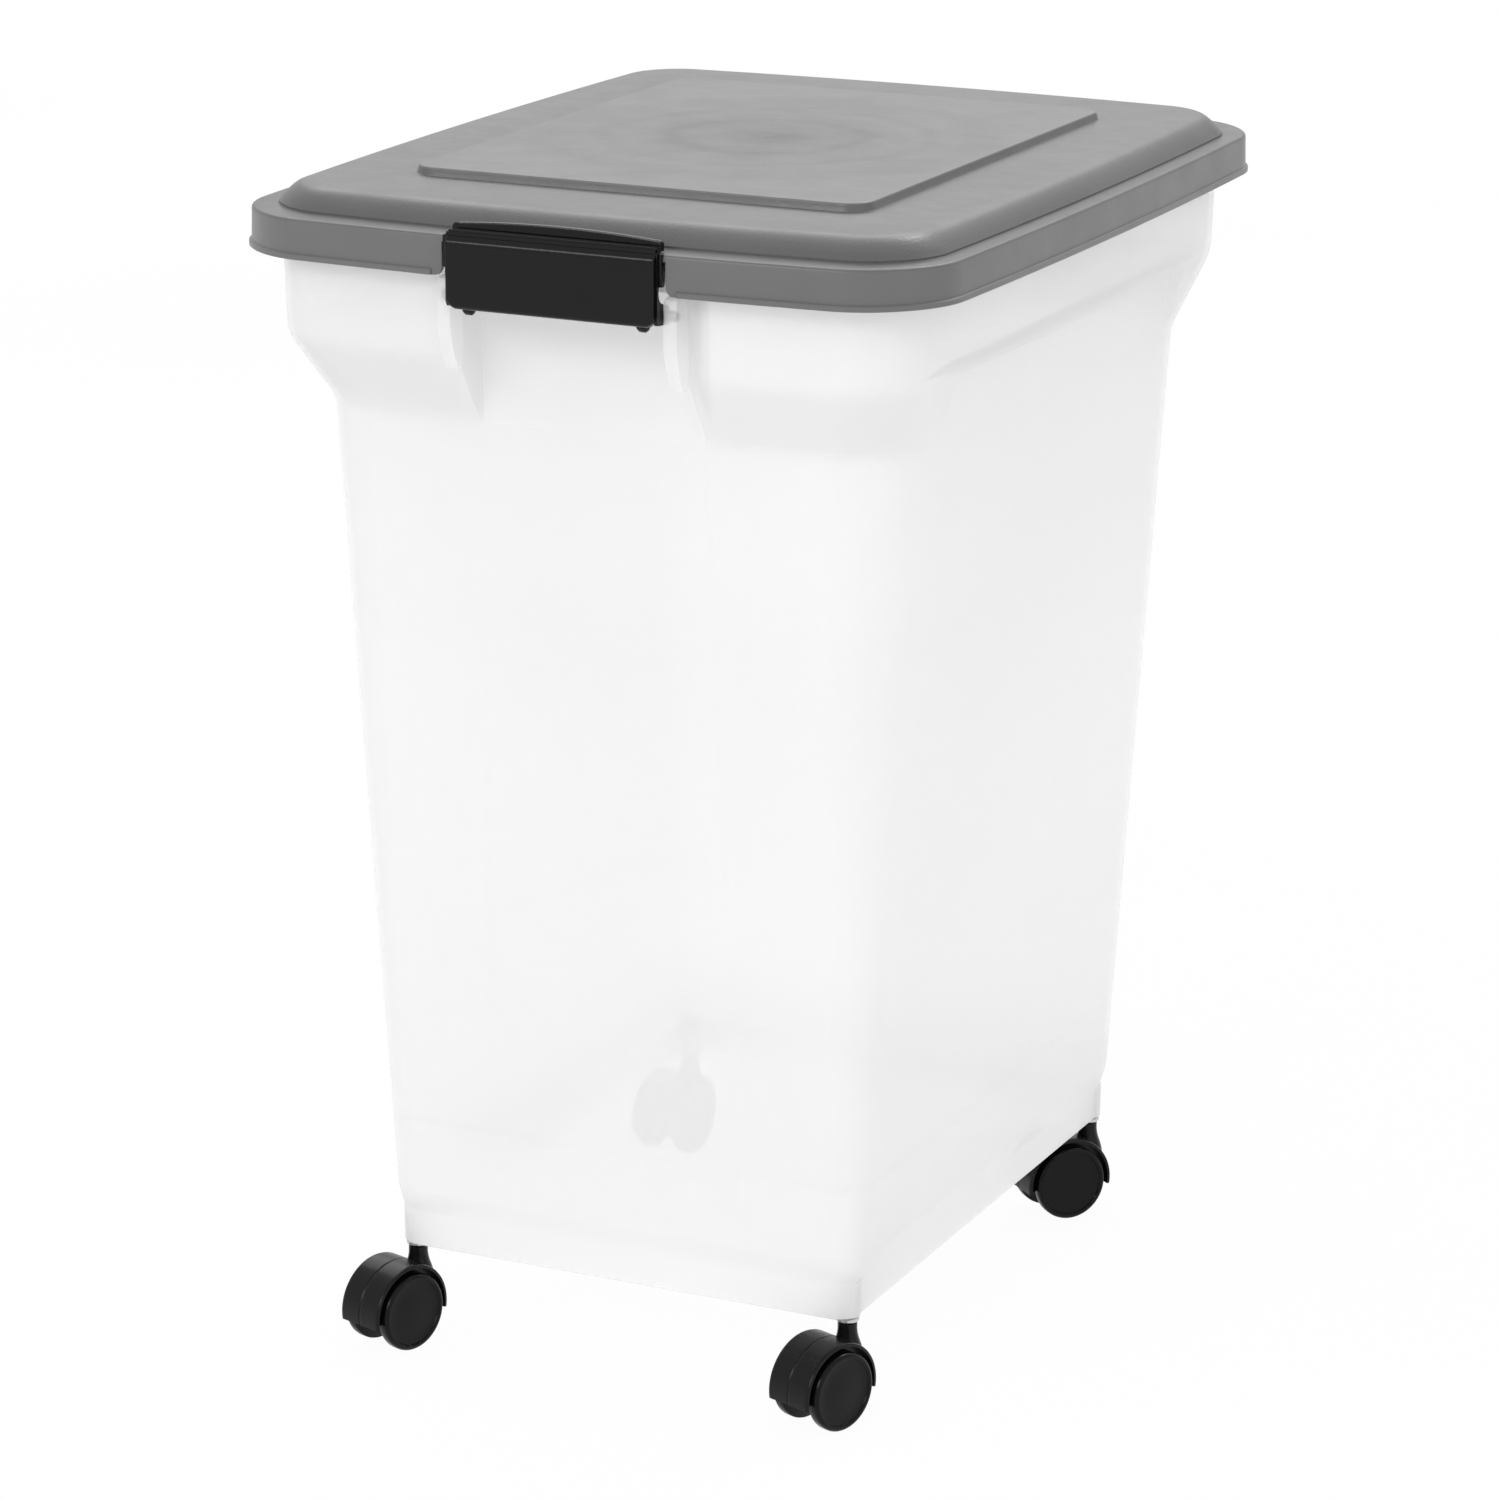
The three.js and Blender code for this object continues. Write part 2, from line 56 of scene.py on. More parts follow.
# Stations of the tub: height, width (X), depth (Y), corner radius, belly.
FOOT_BOTTOM = (53, 257, 344, 9, 0)
FOOT_TOP = (72, 258, 345, 9.5, 0)
WALL_BOTTOM = (84, 266, 352, 15, 0)
WALL_TOP = (504, 324, 395, 45, 0)
COLLAR_BOTTOM = (540, 340.3, 437.6, 31, 1)
COLLAR_TOP = (595.5, 342.5, 440, 31, 1)
TUB_STATIONS = (FOOT_BOTTOM, FOOT_TOP, WALL_BOTTOM, WALL_TOP, COLLAR_BOTTOM, COLLAR_TOP)
RIM = (366, 457.6, 42, 1)
RIM_UNDER_Z, RIM_TOP_Z = 596, 599
FLOOR_Z, FLOOR = 75, (260, 346.75, 11, 0)
WALL_RISE = WALL_TOP[0] - WALL_BOTTOM[0]
SLOPE_X = (WALL_TOP[1] - WALL_BOTTOM[1]) / 2 / WALL_RISE
SLOPE_Y = (WALL_TOP[2] - WALL_BOTTOM[2]) / 2 / WALL_RISE
LEDGE_HALF, LEDGE_PROUD = 150, 0.3
POCKET_HALF, POCKET_TOP_Z = 61, 582
RECESS_DEPTH, RECESS_BOTTOM_Z, RECESS_TOP_Z = 0.8, 96, 506
PANEL_HALF_LOW, PANEL_HALF_HIGH = 72, 60
EAR_INNER_X, EAR_WIDTH, EAR_ROOT_Y, EAR_FRONT_Y, EAR_TOP_Z = 57, 7, -224, -237.6, 582.5
EAR_HOLE_R, EAR_END_WALL, EAR_EDGE = 2.9, 1.2, 0.8
TURN_IN_DEPTH, TURN_IN_BOTTOM_Z, TURN_IN_TOP_Z = 3.6, 512, 594
BOSS_R, BOSS_BORE_R, BOSS_BOTTOM_Z, BOSS_TOP_Z = 6.6, 3.9, 53.6, 72.4
PIVOT_Y, PIVOT_Z, PIN_R, PIN_END_X = -233, 573, 2.5, 62.4

# Lid outlines: width, depth, corner radius, belly.
SKIRT = (374.4, 466, 45.6, 1)
SKIRT_INNER = (369.6, 461.2, 43, 1)
DOME = (353.6, 433, 36, 1)
PLATFORM = (248, 312, 14, 0)
PLUG = (333.4, 417, 26.5, 1)
LID_BOTTOM_Z, LID_LEDGE_Z, LID_DOME_Z, LID_PLATFORM_Z = 583.5, 603.4, 614.2, 618.5
PLUG_BOTTOM_Z, LID_WALL = 586, 2.4
NOTCH_HALF, NOTCH_TOP_Z, NOTCH_R, BEAD_NOTCH_HALF, NOTCH_ZONE_HALF = 59.7, 600, 4, 65, 100
EDGE_BEAD, LEDGE_EDGE_R, PLATFORM_EDGE_R = 1.35, 1.7, 1.1

LATCH_HALF = 55.5
LATCH_FRONT_Y, LATCH_BACK_Y, LATCH_FOOT_Y, LIP_BACK_Y = -245, -242.2, -228, -233
LATCH_BOTTOM_Z, LATCH_RIDGE_Z = 568.5, 606.7
LATCH_CORNER_R, LATCH_ROLL_R = 5.5, 2.6
# Top of the finger lip: at its ends, at its middle.
FRONT_LIP, REAR_LIP = (609.2, 611.6), (607.5, 608)
HOOK_INNER_X, HOOK_OUTER_X, HOOK_R, KNUCKLE_R, KNUCKLE_LENGTH = 43.8, 49.2, 6.2, 4.3, 9

WHEEL_R, TRAIL, HOOD_R, HOOD_INSIDE = 20.6, 17.6, 25.2, 23.4
HOOD_HALF, HOOD_BOTTOM_Z, NECK_R, NECK_TOP_Z = 13.6, 16.6, 5, 50.2
WEB_INNER, WEB_OUTER, AXLE_HOLE_R, HUB_R, HUB_HALF = 7, 8.8, 2.7, 4.6, 8.7
SOCKET_R, SOCKET_DEPTH = 3.9, 14
STEM_R, STEM_COLLAR_R, STEM_IN_NECK, STEM_TOP_Z = 3.6, 6, 13.7, 69.5
PART_GAP = 0.3
WHEEL_INNER, WHEEL_OUTER = 9.8, 16
# A point this near the axis stands for a point on it.
AXIS_R = 0.001

# Heights in metres between which the plastics' density, scattering and painted shade change.
DENSE_BELOW, WALLS_ABOVE = 0.082, 0.125
# The tub's colour carries painted shade, darker towards the bottom, between these two.
TUB_SHADE_LOW_Z, TUB_SHADE_HIGH_Z = 0.09, 0.45
MILKY_LOW_Z, MILKY_HIGH_Z = 0.4, 0.56
# The lid's ledge, slanted step and dome flat carry painted shade between these two.
LID_SHADE_LOW_Z, LID_SHADE_HIGH_Z = 0.598, 0.6185


# ---------- materials ----------
# Nearly all of a noise lies between these two.
NOISE_LOW, NOISE_HIGH = 0.3, 0.7


def material(name):
    mat = bpy.data.materials.new(name)
    mat.use_nodes = True
    tree = mat.node_tree
    tree.nodes.clear()
    out = tree.nodes.new("ShaderNodeOutputMaterial")
    return mat, tree, out


def noise(tree, scale, detail=3.0):
    coords = tree.nodes.new("ShaderNodeTexCoord")
    tex = tree.nodes.new("ShaderNodeTexNoise")
    tex.inputs["Scale"].default_value = scale
    tex.inputs["Detail"].default_value = detail
    tree.links.new(coords.outputs["Object"], tex.inputs["Vector"])
    return tex.outputs["Fac"]


def ramp(tree, fac, low, high):
    """Blends from one colour to the other over a noise."""
    node = tree.nodes.new("ShaderNodeValToRGB")
    node.color_ramp.elements[0].position = NOISE_LOW
    node.color_ramp.elements[1].position = NOISE_HIGH
    node.color_ramp.elements[0].color = (*low, 1)
    node.color_ramp.elements[1].color = (*high, 1)
    tree.links.new(fac, node.inputs["Fac"])
    return node.outputs["Color"]


def spread(tree, fac, low, high, start=NOISE_LOW, end=NOISE_HIGH):
    """Maps the stretch from start to end of a factor, a noise if not told otherwise, onto low to high."""
    node = tree.nodes.new("ShaderNodeMapRange")
    node.inputs["From Min"].default_value = start
    node.inputs["From Max"].default_value = end
    node.inputs["To Min"].default_value = low
    node.inputs["To Max"].default_value = high
    tree.links.new(fac, node.inputs["Value"])
    return node.outputs["Result"]


def bump(tree, height, strength, distance):
    node = tree.nodes.new("ShaderNodeBump")
    node.inputs["Strength"].default_value = strength
    node.inputs["Distance"].default_value = distance
    tree.links.new(height, node.inputs["Height"])
    return node.outputs["Normal"]


def grained(name, dark, light, rough, grain, depth, metallic=0.0, blotch=9.0, specular=0.5):
    """A moulded or metal surface: soft blotches of tone, varied roughness and a fine grain."""
    mat, tree, out = material(name)
    body = tree.nodes.new("ShaderNodeBsdfPrincipled")
    tree.links.new(ramp(tree, noise(tree, blotch), dark, light), body.inputs["Base Color"])
    tree.links.new(spread(tree, noise(tree, blotch * 4), *rough), body.inputs["Roughness"])
    tree.links.new(bump(tree, noise(tree, grain, 2.0), 0.35, depth), body.inputs["Normal"])
    body.inputs["Metallic"].default_value = metallic
    body.inputs["Specular IOR Level"].default_value = specular
    tree.links.new(body.outputs["BSDF"], out.inputs["Surface"])
    return mat


def by_height(tree, z_low, z_high, low, high):
    """A value that changes steadily with the height at rest, in metres."""
    coords = tree.nodes.new("ShaderNodeTexCoord")
    split = tree.nodes.new("ShaderNodeSeparateXYZ")
    tree.links.new(coords.outputs["Object"], split.inputs["Vector"])
    return spread(tree, split.outputs["Z"], low, high, z_low, z_high)


def maths(tree, operation, first, second=None):
    """A Math node on a linked first value, with a linked second one if there is one."""
    node = tree.nodes.new("ShaderNodeMath")
    node.operation = operation
    tree.links.new(first, node.inputs[0])
    if second is not None:
        tree.links.new(second, node.inputs[1])
    return node


def density(tree, wall, low):
    """Share of the plastic that isn't clear: higher in the lower walls and the foot than elsewhere."""
    shape = tree.nodes.new("ShaderNodeNewGeometry")
    split = tree.nodes.new("ShaderNodeSeparateXYZ")
    tree.links.new(shape.outputs["Normal"], split.inputs["Vector"])
    level = maths(tree, "ABSOLUTE", split.outputs["Z"])
    steep = maths(tree, "LESS_THAN", level.outputs["Value"])
    steep.inputs[1].default_value = 0.7
    extra_at = by_height(tree, DENSE_BELOW, WALLS_ABOVE, low - wall, 0)
    extra = maths(tree, "MULTIPLY_ADD", steep.outputs["Value"], extra_at)
    extra.inputs[2].default_value = wall
    return extra.outputs["Value"]


def milky(name):
    """Frosted polypropylene, denser in the foot: part clear, part scattering, part reflecting, with painted
    shade darkening its colour towards the bottom.
    """
    mat, tree, out = material(name)
    cloud = ramp(tree, noise(tree, 5.0), (0.98, 0.98, 0.98), (0.995, 0.995, 0.995))
    # Painted shade: the colour darkens towards the bottom of the tub.
    tone = multiplied(tree, cloud, by_height(tree, TUB_SHADE_LOW_Z, TUB_SHADE_HIGH_Z, 0.93, 1.0))
    grain = bump(tree, noise(tree, 420.0, 2.0), 0.2, 0.0002)
    surface = tree.nodes.new("ShaderNodeBsdfPrincipled")
    surface.inputs["Specular IOR Level"].default_value = 0.35
    tree.links.new(tone, surface.inputs["Base Color"])
    tree.links.new(spread(tree, noise(tree, 30.0), 0.34, 0.46), surface.inputs["Roughness"])
    tree.links.new(grain, surface.inputs["Normal"])
    through = tree.nodes.new("ShaderNodeBsdfTranslucent")
    tree.links.new(tone, through.inputs["Color"])
    clear = tree.nodes.new("ShaderNodeBsdfTransparent")
    clear.inputs["Color"].default_value = (0.985, 0.985, 0.985, 1)
    scattering = by_height(tree, MILKY_LOW_Z, MILKY_HIGH_Z, 0.46, 0.28)
    solid_part = mixed(tree, scattering, surface.outputs["BSDF"], through.outputs["BSDF"])
    whole = mixed(tree, density(tree, 0.46, 0.84), clear.outputs["BSDF"], solid_part)
    tree.links.new(whole, out.inputs["Surface"])
    return mat


def mixed(tree, share, first, second):
    """Two shaders mixed, with the given share of the second."""
    node = tree.nodes.new("ShaderNodeMixShader")
    tree.links.new(share, node.inputs["Fac"])
    tree.links.new(first, node.inputs[1])
    tree.links.new(second, node.inputs[2])
    return node.outputs["Shader"]


def tones(tree, fac, stops):
    """Grey tones at the given places of a factor, blended in between."""
    node = tree.nodes.new("ShaderNodeValToRGB")
    band = node.color_ramp
    for k, (place, tone) in enumerate(stops):
        stop = band.elements[k] if k < 2 else band.elements.new(place)
        stop.position = place
        stop.color = (tone, tone, tone, 1)
    tree.links.new(fac, node.inputs["Fac"])
    return node.outputs["Color"]


def multiplied(tree, first, second):
    """One colour times another."""
    product = tree.nodes.new("ShaderNodeMix")
    product.data_type = "RGBA"
    product.blend_type = "MULTIPLY"
    product.inputs["Factor"].default_value = 1.0
    tree.links.new(first, product.inputs["A"])
    tree.links.new(second, product.inputs["B"])
    return product.outputs["Result"]


def gate_marks(tree):
    """Darker flow marks in rings about the gate in the middle of the lid, as a factor on its tone."""
    coords = tree.nodes.new("ShaderNodeTexCoord")
    flat = tree.nodes.new("ShaderNodeVectorMath")
    flat.operation = "MULTIPLY"
    flat.inputs[1].default_value = (1, 1, 0)
    tree.links.new(coords.outputs["Object"], flat.inputs[0])
    away = tree.nodes.new("ShaderNodeVectorMath")
    away.operation = "LENGTH"
    tree.links.new(flat.outputs["Vector"], away.inputs[0])
    wander = maths(tree, "MULTIPLY_ADD", noise(tree, 26.0))
    wander.inputs[1].default_value = 0.022
    tree.links.new(away.outputs["Value"], wander.inputs[2])
    # Distance from the gate in metres, which wanders a little, and the tone there.
    stops = [(0.0, 0.2), (0.014, 0.45), (0.026, 0.62), (0.04, 0.76), (0.054, 0.8), (0.061, 0.62)]
    stops += [(0.068, 0.86), (0.086, 0.96), (0.094, 0.84), (0.103, 0.98), (0.125, 0.9), (0.14, 1.02)]
    return tones(tree, wander.outputs["Value"], stops)


def painted_step_shade(tree):
    """Painted shade, as a factor on the lid's colour: the ledge, slanted step and dome darker than the
    platform.
    """
    # Share of the way from the skirt's upper part to the platform's top, and the painted shade's factor
    # there.
    stops = [(0.0, 1.0), (0.18, 1.0), (0.26, 0.62), (0.53, 0.68), (0.77, 0.82), (0.88, 0.86), (0.98, 1.0)]
    return tones(tree, by_height(tree, LID_SHADE_LOW_Z, LID_SHADE_HIGH_Z, 0, 1), stops)


def lid_material():
    """Grey polypropylene with fine spark grain, flow marks about the gate and painted shade on its steps."""
    mat, tree, out = material("grey_lid_plastic")
    blotch = ramp(tree, noise(tree, 14.0, 5.0), (0.116, 0.116, 0.117), (0.127, 0.127, 0.128))
    # Random blotches times the flow marks times the painted shade on the steps.
    tone = multiplied(tree, multiplied(tree, blotch, gate_marks(tree)), painted_step_shade(tree))
    body = tree.nodes.new("ShaderNodeBsdfPrincipled")
    body.inputs["Specular IOR Level"].default_value = 0.5
    tree.links.new(tone, body.inputs["Base Color"])
    tree.links.new(spread(tree, noise(tree, 40.0), 0.32, 0.42), body.inputs["Roughness"])
    tree.links.new(bump(tree, noise(tree, 700.0, 2.0), 0.45, 0.0003), body.inputs["Normal"])
    tree.links.new(body.outputs["BSDF"], out.inputs["Surface"])
    return mat


MILKY = milky("milky_tub_plastic")
GREY = lid_material()
LATCH_TONES = (0.0022, 0.0022, 0.0023), (0.0032, 0.0032, 0.0033)
CASTER_TONES = (0.002, 0.002, 0.0021), (0.003, 0.003, 0.0031)
BLACK = grained("black_latch_plastic", *LATCH_TONES, (0.13, 0.2), 600, 0.00015, specular=0.24)
HOOD = grained("black_hood_plastic", *CASTER_TONES, (0.22, 0.3), 500, 0.00015, specular=0.2)
WHEEL = grained("wheel_plastic_black", *CASTER_TONES, (0.16, 0.24), 500, 0.00015, specular=0.15)
STEEL = grained("plated_steel", (0.5, 0.5, 0.51), (0.62, 0.62, 0.63), (0.2, 0.32), 300, 0.0001, 1.0, 40.0)
FOAM = grained("grey_foam_seal", (0.5, 0.5, 0.49), (0.62, 0.62, 0.6), (0.85, 0.95), 900, 0.0006)


# ---------- mesh helpers ----------
def build(name, bm, mat, body, replaced, sharp):
    """Closes the mesh's seams, shades it smooth up to the given angle and hangs it on its body."""
    same_point = 0.004
    bmesh.ops.remove_doubles(bm, verts=bm.verts, dist=same_point)
    bmesh.ops.dissolve_degenerate(bm, dist=same_point, edges=bm.edges)
    bmesh.ops.recalc_face_normals(bm, faces=bm.faces)
    mesh = bpy.data.meshes.new(name)
    bm.to_mesh(mesh)
    bm.free()
    mesh.transform(Matrix.Scale(MM, 4))
    for polygon in mesh.polygons:
        polygon.use_smooth = True
    mesh.set_sharp_from_angle(angle=math.radians(sharp))
    mesh.materials.append(mat)
    obj = bpy.data.objects.new(name, mesh)
    bpy.context.scene.collection.objects.link(obj)
    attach(obj, body)
    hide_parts(*replaced)


def join_rows(bm, a, b):
    """A band of faces between two closed rows of vertices."""
    n = len(a)
    for i in range(n):
        j = (i + 1) % n
        bm.faces.new((a[i], a[j], b[j], b[i]))


def skin(bm, rings, capped=True):
    """Joins closed rings of points, one after another, and closes both ends with fans if capped."""
    rows = [[bm.verts.new(p) for p in ring] for ring in rings]
    for a, b in zip(rows, rows[1:]):
        join_rows(bm, a, b)
    n = len(rows[0])
    for row in (rows[0], rows[-1]) if capped else ():
        middle = bm.verts.new(sum((v.co for v in row), Vector()) / n)
        for i in range(n):
            bm.faces.new((row[i], row[(i + 1) % n], middle))
    return rows


def prism(bm, sections):
    """Joins closed polygon sections in order and closes the two ends with one face each."""
    rows = skin(bm, sections, capped=False)
    bm.faces.new(rows[0])
    bm.faces.new(rows[-1][::-1])


def ways_round(steps):
    """Unit (cosine, sine) pairs, evenly round a circle."""
    return [(math.cos(math.tau * k / steps), math.sin(math.tau * k / steps)) for k in range(steps)]


def turned(bm, profile, place, sides):
    """Turns a (radius, height) profile about +X at place; the profile starts and ends on the axis."""
    rings = []
    for r, h in profile:
        r = max(r, AXIS_R)
        rings.append([place @ Vector((h, r * a, r * b)) for a, b in ways_round(sides)])
    skin(bm, rings)


def upright(bm, profile, sides):
    """Turns a (radius, height) profile about +Z; the profile starts and ends on the axis."""
    rings = []
    for r, h in profile:
        r = max(r, AXIS_R)
        rings.append([(r * a, r * b, h) for a, b in ways_round(sides)])
    skin(bm, rings)


def arc(cx, cy, r, start, end, steps):
    """Points on an arc, angles in degrees."""
    angles = [math.radians(start + (end - start) * k / steps) for k in range(steps + 1)]
    return [(cx + r * math.cos(a), cy + r * math.sin(a)) for a in angles]


def smoothstep(t):
    """0 up to t = 0, 1 from t = 1, and a soft rise between."""
    t = min(max(t, 0.0), 1.0)
    return t * t * (3 - 2 * t)


def lerp(a, b, t):
    return a + (b - a) * t


# Columns of the grid: fixed |y| on the long sides, fixed |x| on the short ones, and steps round each
# corner. They crowd where the hand ledge, the latch pocket and the lid's notches begin.
SIDE_Y = [0, 15, 30, 45, 60, 75, 90, 105, 120, 132, 141, 146, 148, 149, 149.8, 151, 151.8]
SIDE_X = [0, 12, 24, 36, 46, 52, 56, 58, 59, 59.6, 59.8, 60.2, 60.8, 61.4, 62, 62.8, 63.8, 65, 65.6]
SIDE_X += [67, 69, 71, 74, 80, 90, 100, 108]
CORNER_STEPS = 14


def both_ways(values):
    """The values with their negatives before them, in rising order."""
    return [-v for v in values[:0:-1]] + values


def outline(w, d, r, bow, z=0.0):
    """Rounded rectangle with bellied sides, as (x, y, z) points in grid-column order."""
    x0, y0 = w / 2, d / 2
    points = []

    def side(values, at):
        points.extend(at(v) for v in both_ways(values))

    def corner(sx, sy, start):
        for k in range(CORNER_STEPS + 1):
            a = math.radians(start + 90 * k / CORNER_STEPS)
            points.append((sx * (x0 - r) + r * math.cos(a), sy * (y0 - r) + r * math.sin(a)))

    top = y0 - r
    flat = x0 - r
    side(SIDE_Y, lambda v: (x0, max(min(v, top), -top)))
    corner(1, 1, 0)
    side(SIDE_X, lambda v: (-max(min(v, flat), -flat), y0))
    corner(-1, 1, 90)
    side(SIDE_Y, lambda v: (-x0, -max(min(v, top), -top)))
    corner(-1, -1, 180)
    side(SIDE_X, lambda v: (max(min(v, flat), -flat), -y0))
    corner(1, -1, 270)
    return [(*belly(x, y, w, d, r, bow), z) for x, y in points]


def belly(x, y, w, d, r, bow):
    """Pushes a point of a rounded rectangle out, most at the middle of each side."""
    near_y = min(max((abs(y) - d / 2 + r) / r, 0), 1)
    near_x = min(max((abs(x) - w / 2 + r) / r, 0), 1)
    out_y = math.copysign(bow * BOW_Y * near_y * (1 - (2 * x / w) ** 2), y)
    out_x = math.copysign(bow * BOW_X * near_x * (1 - (2 * y / d) ** 2), x)
    return x + out_x, y + out_y


def shrink(spec, t):
    """The outline a distance t further in, its corners never under 1.5 mm."""
    w, d, r, bow = spec
    return (w - 2 * t, d - 2 * t, max(r - t, 1.5), bow)


# ---------- tub ----------
def station_at(z):
    """Width, depth, radius and belly at one height, straight between the stations."""
    if z <= FOOT_BOTTOM[0]:
        return FOOT_BOTTOM[1:]
    for low, high in zip(TUB_STATIONS, TUB_STATIONS[1:]):
        if z <= high[0]:
            t = (z - low[0]) / (high[0] - low[0])
            return tuple(lerp(a, b, t) for a, b in zip(low[1:], high[1:]))
    return COLLAR_TOP[1:]


def smooth_station(z):
    """The same, rounded where two stretches meet: wide at the shoulder, tight at the foot."""
    reach = 2.2 if z < 120 else 5.0
    samples = [station_at(z + reach * k / 4) for k in range(-4, 5)]
    return tuple(sum(values) / len(samples) for values in zip(*samples))


def ledge_share(y, z, t):
    """1 where the shoulder is left out for the hand ledge of a long side."""
    along = 1 - smoothstep((abs(y) - LEDGE_HALF - t + 1.2) / 2.4)
    low = smoothstep((z - WALL_TOP[0] + t + 2) / 4)
    return along * low if z <= COLLAR_BOTTOM[0] + t else 0


def pocket_share(x, z, t):
    """1 inside the latch pocket of the front or back."""
    along = 1 - smoothstep((abs(x) - POCKET_HALF - t + 1.0) / 2.0)
    low = smoothstep((z - WALL_TOP[0] + t + 2) / 4)
    return along * low if z <= POCKET_TOP_Z + t else 0


def ear_rounding(x, z):
    """The collar turns in beside each ear: how far its front stands back, within 10 mm of the ear."""
    if not TURN_IN_BOTTOM_Z < z < TURN_IN_TOP_Z:
        return 0
    beside = 1 - smoothstep((abs(x) - EAR_INNER_X - EAR_WIDTH + 0.5) / 10)
    height = smoothstep((z - TURN_IN_BOTTOM_Z) / 26) * smoothstep((TURN_IN_TOP_Z - z) / 8)
    return TURN_IN_DEPTH * beside * height


def front_recess(x, z):
    """The front and back walls stand a little back on both sides of a wide middle panel."""
    half = lerp(PANEL_HALF_LOW, PANEL_HALF_HIGH, (z - WALL_BOTTOM[0]) / WALL_RISE)
    height = smoothstep((z - RECESS_BOTTOM_Z) / 26) * smoothstep((RECESS_TOP_Z - z) / 20)
    return RECESS_DEPTH * smoothstep((abs(x) - half + 2.5) / 5) * height


def tub_ring(z, t, past_ledge=False, past_pocket=False):
    """One level of the tub, inset by t; past_ledge and past_pocket put the shoulder back there."""
    w, d, r, bow = shrink(smooth_station(z), t)
    plane_x = WALL_TOP[1] / 2 + LEDGE_PROUD - t + (z - WALL_TOP[0]) * SLOPE_X
    plane_y = WALL_TOP[2] / 2 - t + (z - WALL_TOP[0]) * SLOPE_Y
    ring = []
    for x, y, _ in outline(w, d, r, bow):
        ledge = 0 if past_ledge else ledge_share(y, z, t)
        pocket = 0 if past_pocket else pocket_share(x, z, t)
        on_short_side = abs(y) > d / 2 - r + 1e-3
        if ledge and abs(x) > plane_x:
            x = math.copysign(lerp(abs(x), plane_x, ledge), x)
        if pocket and abs(y) > plane_y:
            y = math.copysign(lerp(abs(y), plane_y, pocket), y)
        elif on_short_side and abs(x) < w / 2 - r + 1:
            y = math.copysign(abs(y) - ear_rounding(x, z) - front_recess(x, z), y)
        ring.append((x, y, z))
    return ring


def tub_levels(t):
    """Heights of the tub's levels from the wall's bottom to the collar's top, the two jumps marked."""
    ledge_z, pocket_z = COLLAR_BOTTOM[0] + t, POCKET_TOP_Z + t
    low = WALL_TOP[0] - t
    heights = [84, 86, 88, 91, 95, 99, 104, 110, 117, 125, *range(150, 451, 30), 470, 484, 492]
    heights += [low + rise for rise in (-5, -2, -1, 0, 1, 2, 4, 8, 14, 20, 26, 31)]
    heights += [535, 537]
    levels = [(z, False, False) for z in heights]
    jump = 0.01
    levels += [(ledge_z, False, False), (ledge_z + jump, True, False)]
    levels += [(z, True, False) for z in (ledge_z + 1, ledge_z + 2.5, 546, 549, 553, 560, 567, 574, 579)]
    levels += [(pocket_z, True, False), (pocket_z + jump, True, True)]
    levels += [(z, True, True) for z in (586, 590, 593)]
    return levels


def foot_rings():
    """From under the floor, down inside the foot band and round its lower edge to the wall."""
    low, high = FOOT_BOTTOM[0], FOOT_TOP[0]
    inner_low, inner_high = shrink(FOOT_BOTTOM[1:], WALL), shrink(FOOT_TOP[1:], WALL)
    rings = [outline(*shrink(inner_high, 3), high), outline(*inner_high, high - 0.4)]
    rings += [outline(*inner_low, low + 0.5), outline(*shrink(inner_low, -0.5), low)]
    rings += [outline(*shrink(FOOT_BOTTOM[1:], 0.7), low), tub_ring(low + 0.7, 0)]
    rings += [tub_ring(z, 0) for z in (58, 64, 68, 70, 71, 72, 73, 74, 76, 78, 80, 82, 83)]
    return rings


def rim_rings():
    """From the collar's top out round the rim flange and over it to the inside."""
    collar = COLLAR_TOP[1:]
    rings = [outline(*collar, COLLAR_TOP[0] - 0.3), outline(*shrink(collar, -0.8), RIM_UNDER_Z)]
    rings += [outline(*shrink(RIM, 0.5), RIM_UNDER_Z), outline(*RIM, RIM_UNDER_Z + 0.5)]
    rings += [outline(*RIM, RIM_TOP_Z - 0.6), outline(*shrink(RIM, 0.6), RIM_TOP_Z)]
    inside = shrink(collar, WALL)
    rings += [outline(*shrink(inside, -0.6), RIM_TOP_Z), outline(*inside, RIM_TOP_Z - 0.6)]
    return rings


def floor_rings():
    """The rounded edge of the tub's floor and the start of its flat."""
    floor = shrink(FLOOR, WALL)
    rings = [outline(*floor, FLOOR_Z + 1.5), outline(*shrink(floor, 0.5), FLOOR_Z + 0.4)]
    rings += [outline(*shrink(floor, 1.6), FLOOR_Z), outline(*shrink(floor, 4), FLOOR_Z)]
    return rings


def tub_shell(bm):
    outside = [tub_ring(z, 0, *past) for z, *past in tub_levels(0)]
    inside = [tub_ring(z, WALL, *past) for z, *past in reversed(tub_levels(WALL))]
    skin(bm, foot_rings() + outside + rim_rings() + inside + floor_rings())


